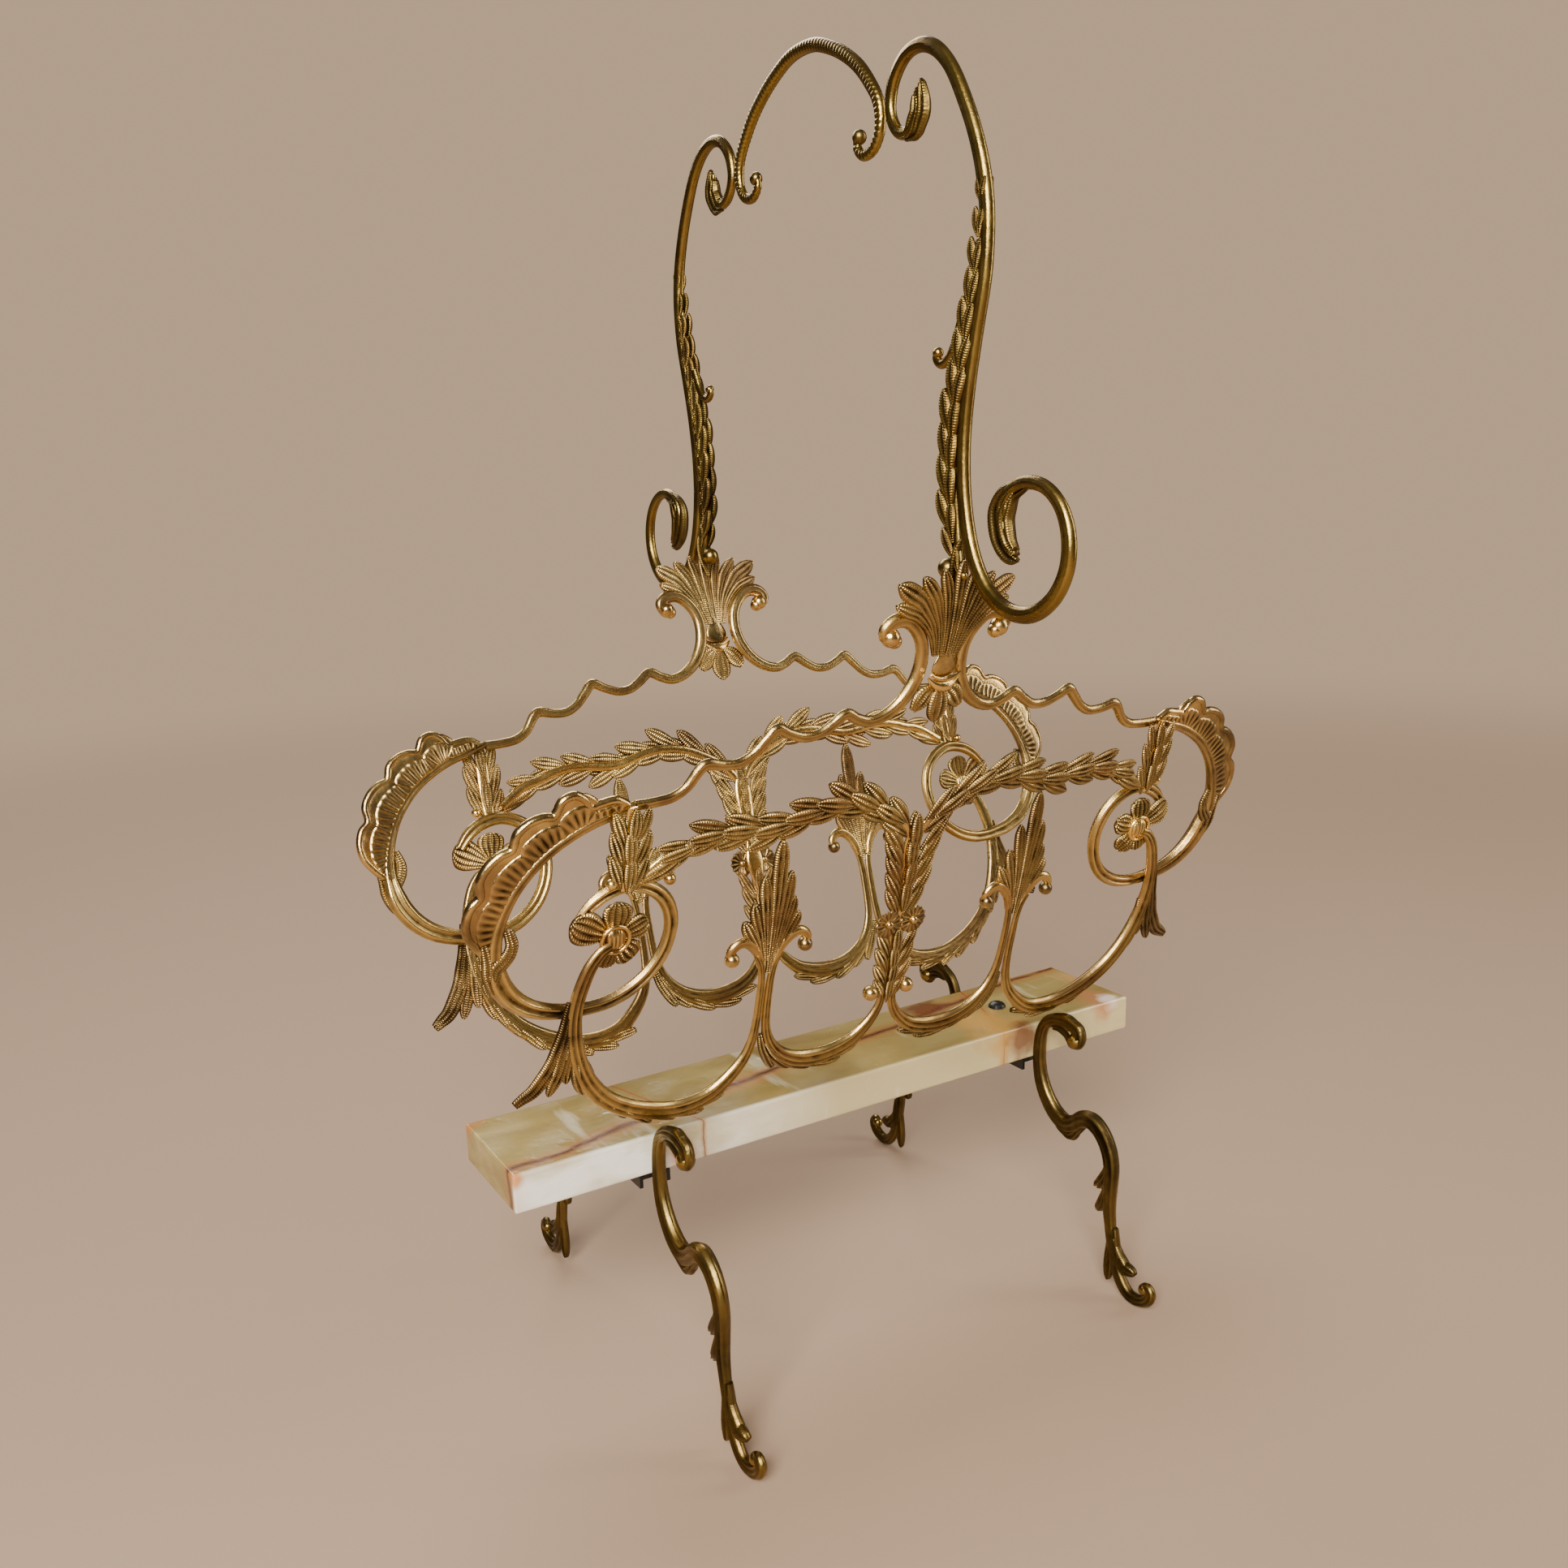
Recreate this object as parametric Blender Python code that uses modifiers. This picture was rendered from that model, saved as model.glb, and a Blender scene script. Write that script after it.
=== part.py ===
"""Magazine rack: two openwork brass panels lean outwards over an onyx slab on four
cabriole legs, and a scrolled handle of three castings spans the panels.

X runs along the rack, Y from the front panel (-Y) to the back panel (+Y), Z is up, and
the origin is on the floor at the middle. Sizes are in millimetres, turned into metres
by MM where a mesh is made.
"""
import bpy
import bmesh
from math import cos, hypot, pi, radians, sin
from mathutils import Matrix, Vector

MM = 0.001

# Driving dimensions
PANEL_LENGTH = 400.0      # over the combs of the end scrolls
PANEL_RISE = 213.5        # from the panel's datum line to the palmette tips
PANEL_LEAN = radians(15.2)
SLAB_LENGTH = 351.0
SLAB_WIDTH = 58.4
SLAB_THICKNESS = 18.0
SLAB_TOP = 122.6
ROD_DEPTH = 0.72          # depth of a flattened panel rod over its width
LEAF_HALF_DEPTH = 1.4     # half the thickness of the flat leaf castings
HANDLE_TOP = 573.2        # top of the arch above the floor
SCREW_RADIUS = 1.5
BOLT_RADIUS = 2.5

# Fits
GAP = 0.3                 # between soldered or touching pieces
BOLT_CLEARANCE = 0.4
LEG_TO_SLAB = 0.4
PANEL_OVER_SLAB = 37.8    # height of the panel's datum line over the slab
PANEL_OUTSIDE_SLAB = 17.6  # distance of the datum line outside the slab's face

# The panel outlines are drawn on this nominal size and stretched to the driving one
NOMINAL_LENGTH = 400.0
NOMINAL_RISE = 213.5
STRETCH_U = PANEL_LENGTH / NOMINAL_LENGTH
STRETCH_V = PANEL_RISE / NOMINAL_RISE

SLAB_BOTTOM = SLAB_TOP - SLAB_THICKNESS
DATUM_Y = SLAB_WIDTH / 2 + PANEL_OUTSIDE_SLAB
DATUM_Z = SLAB_TOP + PANEL_OVER_SLAB
LEG_X = 0.275 * PANEL_LENGTH
BACK_LAYER = -2.4         # depth of the rods behind the panel's middle plane
FRONT_LAYER = 3.2         # depth of the rods before it
LEAF_LAYER = GAP + LEAF_HALF_DEPTH

STRAP_WIDTH = 15.0
STRAP_SHEET = 1.6
STRAP_DROP = 5.5
WASHER_RADIUS = 5.0
WASHER_THICKNESS = 1.0
NUT_RADIUS = 4.6
NUT_HEIGHT = 4.0
HEAD_RADIUS = 4.6
HEAD_HEIGHT = 2.8

# The screw that pins a handle arm to a palmette
SCREW_V = 207.0
BALL_RADIUS = 4.2
FOOT_HALF_DEPTH = 1.1
FOOT_DEPTH = -FOOT_HALF_DEPTH
PALMETTE_TOP_FACE = LEAF_LAYER + LEAF_HALF_DEPTH

# Rod stations on the right half of the panel: along, up, half width
RAIL = [
    (133.5, 127, 2.0), (126, 127, 2.0), (118, 128, 2.0), (112, 131.5, 2.0), (107.5, 137.5, 2.1),
    (104, 139.5, 2.2), (97, 138, 2.0), (90, 138, 2.0), (84, 141, 2.0), (79, 146, 2.1),
    (74.5, 150, 2.2), (69, 147.5, 2.0), (62, 145, 2.0), (55, 145.3, 2.0), (49, 148.5, 2.1),
    (43, 152.3, 2.2), (37, 149.5, 2.1), (31, 147.8, 2.2), (24, 149.5, 2.4), (17, 154.5, 2.7),
    (12, 162, 2.8), (10, 170, 2.8), (10.8, 178, 2.7), (14.5, 184.5, 2.6), (20, 188.8, 2.5),
    (26, 189, 2.4), (30, 185.8, 2.4), (29.3, 183.2, 3.2), (27, 181.5, 3.8), (24.6, 180.6, 2.6),
]
END_SCROLL = [
    (139.5, 126, 2.4), (143.5, 124.5, 2.6), (150, 122.8, 2.8), (157, 120, 3.0), (165, 115.5, 3.0),
    (172, 110, 3.0), (178.5, 102.5, 3.0), (183, 95, 3.0), (186.3, 86.5, 3.1), (187.8, 79, 3.3),
    (188, 73, 3.8),
]
END_RING = [
    (187.6, 69.2, 3.6), (186.8, 64.5, 4.6), (184.5, 58.5, 4.4), (180, 52, 4.2), (173.5, 46.5, 4.0),
    (166, 43, 3.8), (158, 41, 3.4), (149, 40, 3.1), (140, 40.6, 3.1), (130.5, 44, 3.1),
    (121.5, 51, 3.1), (115.5, 61, 3.1), (113.7, 72, 3.1), (116.5, 82, 3.1), (123, 89, 3.0),
    (132, 92.5, 2.9), (141, 91.5, 2.7), (148.5, 87.5, 2.4), (154, 81, 1.8),
]
S_SCROLL = [
    (147.5, 65.5, 2.5), (151, 59.5, 2.9), (153.8, 52, 3.2), (155.3, 44, 3.4), (155.6, 35, 3.6),
    (154.5, 25, 3.9), (151.5, 14, 4.2), (147, 4.5, 4.6), (140, -4.5, 4.8), (131, -11.5, 4.9),
    (121, -16.5, 4.9), (110, -19.8, 4.9), (99, -20.2, 4.7), (89, -17.5, 4.3), (80.5, -11, 3.8),
    (74.2, -3.3, 3.1), (70.9, 5.5, 2.3), (69.7, 16, 1.9), (69.4, 28, 1.6), (69.2, 37, 1.3),
]
BOTTOM_SCROLL = [
    (11.5, 12.2, 2.4), (10, 13.8, 3.4), (7.8, 15.8, 2.6), (5, 16, 2.0), (3, 12.3, 2.0),
    (3.6, 7, 2.2), (6.5, 0.5, 2.6), (11, -5, 3.2), (17, -9.5, 3.8), (25, -12.3, 4.3),
    (34, -13.3, 4.5), (43, -12.3, 4.3), (51, -9, 3.8), (57.5, -3.8, 3.2), (62, 3, 2.6),
    (64.2, 11, 2.1), (65.1, 20, 1.9), (65.3, 30, 1.6), (65.4, 37, 1.3),
]
GARLAND = [
    (4.2, 97.2, 3.3), (9, 101.5, 4.8), (14, 105, 4.0), (21, 108.8, 5.2), (28, 112, 4.0),
    (36, 113.8, 5.4), (44, 114, 4.2), (52, 113.5, 5.4), (60, 111.3, 4.0), (68, 110, 5.0),
    (76, 110.5, 4.0), (85, 112, 5.2), (94, 112.2, 4.0), (103, 110.8, 5.0), (112, 107.8, 3.8),
    (120, 104, 4.4), (127, 99.6, 2.4),
]
SIDE_GARLAND = [
    (138.3, 128.5, 3.4), (138, 123, 5.6), (137.4, 117.5, 4.4), (136.9, 112.5, 5.8),
    (136.4, 107.5, 4.4), (136.2, 102.5, 5.4), (136.2, 97.5, 4.0), (136.2, 94.3, 2.6),
]
SPRAY_CURL = [
    (2.5, 47, 2.2), (5, 51, 2.3), (9, 54.6, 2.3), (14, 56, 2.2), (18.4, 54.6, 2.2),
    (19.8, 51.4, 2.6), (18.4, 49, 3.3), (16.4, 48.2, 2.2),
]
SPRAY_AXIS = 67.4
# Right halves of the flat leaf outlines
PALMETTE = [
    (0, 146), (4.2, 150.5), (5, 156), (10.5, 151.5), (8.6, 160), (6.6, 165), (6.4, 170),
    (8.8, 179), (13, 187), (19, 193), (27, 195.5), (20, 199), (29.5, 204), (18, 203.5),
    (17, 207), (11.5, 204), (9, 208.8), (6, 206.5), (3.6, 213.5), (0, 211.4),
]
PENDANT_TOP = [
    (0, 92.6), (4, 88.5), (17.5, 88), (9, 80.5), (13.5, 78), (7, 71), (11, 66.5), (5.2, 61),
]
PENDANT_FOOT = [
    (4, 41), (12.5, 39), (6, 31), (8.5, 26.5), (3, 20.4), (0, 18.4),
]
SPRAY_LEAF = [
    (0, 38.6), (1.6, 39), (4.6, 50), (9, 58.5), (14, 65.5), (8.8, 66.5), (10.5, 74), (6.2, 77.5),
    (7, 86.5), (3.4, 88.5), (3.2, 96), (0, 103),
]
ROSETTE_U = 6.6
ROSETTE_V = 50.0
ROSETTE_RADIUS = 8.0
FLOWER_CENTRE = (142.0, 70.5)
FLOWER_RADIUS = 12.2
FLOWER_HALF_DEPTH = 1.6
FLOWER_DOME = (139.3, 71.2, 5.0)

# Comb of the end scroll: number of scallops, least and extra width along it
COMB_SCALLOPS = 5
COMB_START = 0.16
COMB_ROOT = 6.5
COMB_SWELL = 6.5
COMB_SCALLOP = 4.2

# Stations in the plane of a leg: outwards from the slab face, height, half width.
# Heights count from the slab's underside; those below it stretch with the leg.
LEG_NOMINAL_DROP = 104.6
LEG = [
    (23.6, 18.8, 2.8), (27, 17.6, 3.7), (31, 20, 3.8), (31.2, 24.4, 3.5), (25, 26.6, 3.0),
    (16.5, 26.4, 3.0), (9.2, 22.6, 3.1), (5.4, 15.5, 3.2), (4.1, 6.5, 3.5), (4.3, -2.6, 3.7),
    (6.3, -11, 4.0), (10.8, -19, 4.3), (17.3, -25.2, 4.6), (24.2, -27.6, 4.7), (30.2, -25.6, 4.7),
    (35.6, -21.2, 4.7), (42, -19.4, 4.6), (48.6, -22.8, 4.4), (53.6, -29.8, 4.2), (55.8, -38.6, 4.0),
    (55.6, -48.6, 3.8), (55.2, -58.6, 3.6), (56.2, -68.6, 3.3), (57.8, -78.6, 3.0),
    (60.2, -87.6, 3.1), (64, -95.4, 3.2), (69.4, -101, 3.2), (75.6, -102.3, 3.0),
    (81, -99.6, 3.0), (83.4, -95, 2.9), (81.6, -91.2, 2.7), (78.2, -92.2, 2.2),
]
LEG_SPURS = [
    [(57, -76, 2.8), (56.6, -84, 2.4), (56.2, -92, 1.8), (55.8, -100, 0.9)],
    [(59, -84, 2.8), (64, -86.5, 2.6), (69, -88, 1.9), (73, -88.5, 0.9)],
    [(54.6, -43, 2.8), (50.4, -48.5, 2.2), (47, -51.2, 1.0)],
    [(54.6, -55.5, 2.8), (51.4, -61, 2.2), (48.8, -64.4, 1.0)],
]
# Arm and arch stations: outwards from the middle, height on the nominal handle
HANDLE_NOMINAL_TOP = 573.2
HANDLE_NOMINAL_SCREW = 360.1
ARM = [
    (77.5, 536, 2.2), (77.3, 529, 2.7), (72, 523.6, 3.0), (65.5, 524.5, 3.1), (61.2, 530, 3.1),
    (60.3, 536, 3.1), (63, 543.6, 3.2), (70, 549.7, 3.3), (79, 551, 3.4), (88, 547.5, 3.5),
    (96.5, 539.5, 3.6), (104, 527.5, 3.7), (110.5, 514, 3.7), (115, 500, 3.8), (117, 485, 3.8),
    (115.8, 467, 3.8), (111, 447, 3.8), (106.8, 428, 3.8), (104.3, 408, 3.8), (105, 388, 3.8),
    (109.5, 369, 3.9), (118, 355, 4.0), (130, 347.4, 4.1), (143, 346.6, 4.1), (154, 352.5, 4.0),
    (160.5, 362.5, 3.8), (161.5, 374, 3.6), (157.5, 384.5, 3.4), (149.5, 391.5, 3.2),
    (139.5, 393.5, 3.3), (131, 390.5, 3.8), (126.4, 383, 4.4), (127.5, 374.5, 4.6),
    (133, 367.5, 3.0),
]
STRIP = [
    (101.3, 366, 2.6), (97.5, 376, 3.6), (95.6, 390, 3.6), (95, 405, 3.8), (97, 420, 3.8),
    (100.2, 435, 3.8), (104.5, 450, 3.6), (107.8, 465, 3.5), (109.4, 480, 3.2), (109.6, 495, 2.6),
]
THORN = [(98.5, 447, 3.0), (94.5, 440.5, 2.4), (90.2, 438.2, 2.0), (87.2, 441, 2.2)]
ARCH_HALF = [
    (0, 570, 3.2), (10, 569, 3.2), (20, 565.5, 3.2), (30, 560.5, 3.1), (40, 553.5, 3.1),
    (48, 545, 3.0), (52.4, 538.5, 2.9), (53.8, 532, 2.7), (52.6, 526, 2.6), (48.5, 521.7, 2.5),
    (42.5, 520.9, 2.4), (38.3, 524.5, 2.3), (39.2, 529.8, 2.6),
]


def clear_scene():
    for old in list(bpy.data.objects):
        bpy.data.objects.remove(old, do_unlink=True)


def new_collection(name):
    collection = bpy.data.collections.new(name)
    bpy.context.scene.collection.children.link(collection)
    return collection


def metal(name, colour, roughness, metallic=1.0):
    material = bpy.data.materials.new(name)
    material.use_nodes = True
    shader = material.node_tree.nodes["Principled BSDF"]
    shader.inputs["Base Color"].default_value = (*colour, 1.0)
    shader.inputs["Roughness"].default_value = roughness
    shader.inputs["Metallic"].default_value = metallic
    return material


def bake(obj, depth_scale=1.0, weld=0.002):
    """Turn a curve or a modified mesh into one plain closed mesh object in its place."""
    bpy.context.view_layer.update()
    mesh = bpy.data.meshes.new_from_object(obj.evaluated_get(bpy.context.evaluated_depsgraph_get()))
    body = bmesh.new()
    body.from_mesh(mesh)
    bmesh.ops.remove_doubles(body, verts=body.verts, dist=weld * MM)
    bmesh.ops.recalc_face_normals(body, faces=body.faces)
    body.to_mesh(mesh)
    body.free()
    mesh.transform(obj.matrix_world @ Matrix.Diagonal((1.0, 1.0, depth_scale, 1.0)))
    name = obj.name
    bpy.data.objects.remove(obj, do_unlink=True)
    baked = bpy.data.objects.new(name, mesh)
    scratch.objects.link(baked)
    return baked


def rod(name, stations, depth=0.0, depth_scale=1.0, bevel_resolution=1):
    """Closed rod along (x, y, half width) stations in the local XY plane."""
    curve = bpy.data.curves.new(name, "CURVE")
    curve.dimensions = "3D"
    curve.bevel_depth = MM
    curve.bevel_resolution = bevel_resolution
    curve.use_fill_caps = True
    spline = curve.splines.new("POLY")
    spline.points.add(len(stations) - 1)
    for point, (x, y, half_width) in zip(spline.points, stations):
        point.co = (x * MM, y * MM, 0.0, 1.0)
        point.radius = half_width
    obj = bpy.data.objects.new(name, curve)
    scratch.objects.link(obj)
    baked = bake(obj, depth_scale)
    baked.data.transform(Matrix.Translation((0.0, 0.0, depth * MM)))
    baked.data.shade_smooth()
    return baked


def plate(name, loops, half_depth, depth=0.0):
    """Flat casting: closed (x, y) loops filled and extruded both ways."""
    curve = bpy.data.curves.new(name, "CURVE")
    curve.dimensions = "2D"
    curve.fill_mode = "BOTH"
    curve.extrude = half_depth * MM
    for loop in loops:
        spline = curve.splines.new("POLY")
        spline.use_cyclic_u = True
        spline.points.add(len(loop) - 1)
        for point, (x, y) in zip(spline.points, loop):
            point.co = (x * MM, y * MM, 0.0, 1.0)
    obj = bpy.data.objects.new(name, curve)
    scratch.objects.link(obj)
    baked = bake(obj)
    baked.data.transform(Matrix.Translation((0.0, 0.0, depth * MM)))
    return baked


def cylinder(name, radius, low, high, centre=(0.0, 0.0), segments=24):
    body = bmesh.new()
    bmesh.ops.create_cone(body, cap_ends=True, segments=segments, radius1=radius * MM, radius2=radius * MM,
                          depth=(high - low) * MM,
                          matrix=Matrix.Translation(Vector((*centre, (low + high) / 2)) * MM))
    return mesh_object(name, body)


def ball(name, radius, centre, depth_scale=1.0, segments=12):
    body = bmesh.new()
    place = Matrix.Translation(Vector(centre) * MM) @ Matrix.Diagonal((1.0, 1.0, depth_scale, 1.0))
    bmesh.ops.create_uvsphere(body, u_segments=segments, v_segments=segments // 2, radius=radius * MM,
                              matrix=place)
    return mesh_object(name, body)


def box(name, low, high):
    body = bmesh.new()
    size = [b - a for a, b in zip(low, high)]
    centre = [(a + b) / 2 for a, b in zip(low, high)]
    place = Matrix.Translation(Vector(centre) * MM) @ Matrix.Diagonal((*[s * MM for s in size], 1.0))
    bmesh.ops.create_cube(body, size=1.0, matrix=place)
    return mesh_object(name, body)


def mesh_object(name, body):
    mesh = bpy.data.meshes.new(name)
    body.to_mesh(mesh)
    body.free()
    obj = bpy.data.objects.new(name, mesh)
    scratch.objects.link(obj)
    return obj


def combine(operation, first, others):
    """Boolean the others into the first, exactly, and return it as plain mesh."""
    for other in others:
        cut = first.modifiers.new(operation.lower(), "BOOLEAN")
        cut.operation = operation
        cut.solver = "EXACT"
        cut.object = other
    joined = bake(first, weld=0.0002)
    for other in others:
        bpy.data.objects.remove(other, do_unlink=True)
    return joined


def union(first, *others):
    return combine("UNION", first, others)


def mirrored(stations):
    return [(-station[0], *station[1:]) for station in stations]


def mirror_loop(half):
    """Close a right half outline, listed from one axis point to the other."""
    left = [(-x, y) for x, y in reversed(half) if x > 0]
    return list(half) + left


def circle_loop(centre, radius, count=12):
    turn = [2 * pi * i / count for i in range(count)]
    return [(centre[0] + radius * cos(a), centre[1] + radius * sin(a)) for a in turn]


def stretched(points):
    return [(p[0] * STRETCH_U, p[1] * STRETCH_V, *p[2:]) for p in points]


def resample(stations, count):
    """Evenly spaced (x, y) points along a chain, with the unit normal on its left."""
    steps = [hypot(b[0] - a[0], b[1] - a[1]) for a, b in zip(stations, stations[1:])]
    total = sum(steps)
    samples = []
    for i in range(count):
        left = total * i / (count - 1)
        for a, b, step in zip(stations, stations[1:], steps):
            if left <= step + 1e-9 or b is stations[-1]:
                break
            left -= step
        t = min(left / step, 1.0)
        direction = ((b[0] - a[0]) / step, (b[1] - a[1]) / step)
        x = a[0] + (b[0] - a[0]) * t
        y = a[1] + (b[1] - a[1]) * t
        samples.append((x, y, -direction[1], direction[0]))
    return samples


def comb_loop(scroll):
    """Scalloped band outside the end scroll, rooted in its rod."""
    samples = resample(scroll, 31)
    first = int(COMB_START * len(samples))
    kept = samples[first:-1]
    inner = []
    outer = []
    for i, (x, y, nx, ny) in enumerate(kept):
        t = i / (len(kept) - 1)
        near = 1.4
        wave = abs(sin(pi * COMB_SCALLOPS * t))
        width = COMB_ROOT + COMB_SWELL * sin(pi * t) + COMB_SCALLOP * wave
        inner.append((x + near * nx, y + near * ny))
        outer.append((x + (near + width) * nx, y + (near + width) * ny))
    return inner + outer[::-1]


def flower_loop(centre, radius, petals=5, count=30):
    loop = []
    for i in range(count):
        angle = 2 * pi * i / count
        reach = radius * (0.62 + 0.38 * abs(cos(petals * (angle - pi / 2) / 2)))
        loop.append((centre[0] + reach * cos(angle), centre[1] + reach * sin(angle)))
    return loop


def panel_frame(side):
    """Panel plane: local X along, Y up the panel, Z out of it; side is -1 front, 1 back."""
    turn = Matrix.Rotation(0.0 if side < 0 else pi, 4, "Z")
    place = Matrix.Translation((0.0, -DATUM_Y * MM, DATUM_Z * MM))
    return turn @ place @ Matrix.Rotation(pi / 2 + PANEL_LEAN, 4, "X")


def upright_frame(x, side):
    """Plane across the rack: local X outwards, Y up; side is -1 front, 1 back."""
    turn = Matrix.Rotation(0.0 if side < 0 else pi, 4, "Z")
    place = Matrix.Translation((x * MM if side < 0 else -x * MM, 0.0, 0.0))
    axes = Matrix(((0, 0, 1, 0), (-1, 0, 0, 0), (0, 1, 0, 0), (0, 0, 0, 1)))
    flip = Matrix.Diagonal((1.0, 1.0, -1.0, 1.0))
    return turn @ place @ (axes @ flip)


def publish(mesh, name, material, frame=None):
    """Add one named node that shows the mesh in the given frame."""
    obj = bpy.data.objects.new(name, mesh)
    if not mesh.materials:
        mesh.materials.append(material)
    rack.objects.link(obj)
    if frame is not None:
        obj.matrix_world = frame
    return obj


def panel_point(v, w):
    """Distance from the middle and height of a point on a panel's centre line."""
    out = DATUM_Y + v * STRETCH_V * sin(PANEL_LEAN) + w * cos(PANEL_LEAN)
    height = DATUM_Z + v * STRETCH_V * cos(PANEL_LEAN) - w * sin(PANEL_LEAN)
    return out, height


def side_pieces(sign):
    """The castings of one half of a panel as (name, mesh), for one hand."""
    hand = (lambda points: points) if sign > 0 else mirrored
    loops = (lambda loop: [(sign * x, y) for x, y in loop])
    scroll = stretched(END_SCROLL)
    pieces = []

    def add_rod(name, stations, depth, resolution=1):
        piece = rod(name, hand(stretched(stations)), depth, ROD_DEPTH, resolution)
        pieces.append((name, piece))

    add_rod("rail", RAIL, BACK_LAYER)
    add_rod("end_ring", END_RING, BACK_LAYER)
    add_rod("s_scroll", S_SCROLL, FRONT_LAYER + 0.6)
    add_rod("bottom_scroll", BOTTOM_SCROLL, FRONT_LAYER + 0.4)
    add_rod("garland", GARLAND, FRONT_LAYER + 1.0)
    add_rod("side_garland", SIDE_GARLAND, FRONT_LAYER + 1.4)
    comb = plate("comb", [loops(comb_loop(scroll))], LEAF_HALF_DEPTH, BACK_LAYER + 0.3)
    bar = rod("end_scroll", hand(scroll), BACK_LAYER, ROD_DEPTH)
    pieces.append(("end_scroll", union(bar, comb)))

    axis = SPRAY_AXIS * STRETCH_U
    leaf_half = [(x, y * STRETCH_V) for x, y in SPRAY_LEAF]
    leaf = plate("spray", [[(sign * (axis + x), y) for x, y in mirror_loop(leaf_half)]],
                 LEAF_HALF_DEPTH, LEAF_LAYER + 0.4)
    curls = []
    for way in (1, -1):
        stations = [(sign * (axis + way * x), y * STRETCH_V, r) for x, y, r in SPRAY_CURL]
        curls.append(rod("spray_curl", stations, LEAF_LAYER + 0.6, ROD_DEPTH))
    pieces.append(("spray", union(leaf, *curls)))

    centre = (sign * FLOWER_CENTRE[0] * STRETCH_U, FLOWER_CENTRE[1] * STRETCH_V)
    petals = plate("flower", [flower_loop(centre, FLOWER_RADIUS)], FLOWER_HALF_DEPTH, BACK_LAYER + 0.4)
    dome = ball("flower_dome", FLOWER_DOME[2],
                (sign * FLOWER_DOME[0] * STRETCH_U, FLOWER_DOME[1] * STRETCH_V, BACK_LAYER + 1.6), 0.8)
    pieces.append(("flower", union(petals, dome)))
    return pieces


def centre_pieces():
    """The castings on a panel's centre line."""
    hole = circle_loop((0.0, SCREW_V * STRETCH_V), SCREW_RADIUS + GAP)
    outline = mirror_loop([(x, y * STRETCH_V) for x, y in PALMETTE])
    fan = plate("palmette", [outline, hole], LEAF_HALF_DEPTH, LEAF_LAYER)
    boss = ball("boss", 4.6, (0.0, 170.0 * STRETCH_V, LEAF_LAYER + 0.8), 0.7)
    collar = rod("collar", [(-6.2, 165.5 * STRETCH_V, 1.4), (-3.4, 162.6 * STRETCH_V, 2.0),
                            (0, 161.6 * STRETCH_V, 2.2), (3.4, 162.6 * STRETCH_V, 2.0),
                            (6.2, 165.5 * STRETCH_V, 1.4)], LEAF_LAYER + 1.0, 0.9)
    palmette = union(fan, boss, collar)

    turns = [pi / 2 - pi * i / 8 for i in range(9)]
    disc = [(ROSETTE_U + ROSETTE_RADIUS * cos(a), ROSETTE_V + ROSETTE_RADIUS * sin(a)) for a in turns]
    half = [(x, y * STRETCH_V) for x, y in PENDANT_TOP + disc + PENDANT_FOOT]
    pendant = plate("pendant", [mirror_loop(half)], LEAF_HALF_DEPTH, LEAF_LAYER)
    return [("palmette", palmette), ("pendant", pendant)]


def build_panels():
    hands = {1: side_pieces(1), -1: side_pieces(-1)}
    middle = centre_pieces()
    for side, panel in ((-1, "front"), (1, "back")):
        frame = panel_frame(side)
        for sign, pieces in hands.items():
            hand = "right" if sign * -side > 0 else "left"
            for name, piece in pieces:
                publish(piece.data, f"{panel}_{name}_{hand}", GILT, frame)
        for name, piece in middle:
            publish(piece.data, f"{panel}_{name}", GILT, frame)
    for pieces in (*hands.values(), middle):
        for _, piece in pieces:
            bpy.data.objects.remove(piece, do_unlink=True)


def build_slab():
    slab = box("slab", (-SLAB_LENGTH / 2, -SLAB_WIDTH / 2, SLAB_BOTTOM),
               (SLAB_LENGTH / 2, SLAB_WIDTH / 2, SLAB_TOP))
    edge = slab.modifiers.new("eased_edges", "BEVEL")
    edge.width = 2.5 * MM
    edge.segments = 2
    holes = []
    for x in (-LEG_X, LEG_X):
        holes.append(cylinder("slab_hole", BOLT_RADIUS + BOLT_CLEARANCE, SLAB_BOTTOM - 5, SLAB_TOP + 5,
                              (x, 0.0)))
    slab = combine("DIFFERENCE", slab, holes)
    publish(slab.data, "onyx_slab", ONYX)
    bpy.data.objects.remove(slab, do_unlink=True)


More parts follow.
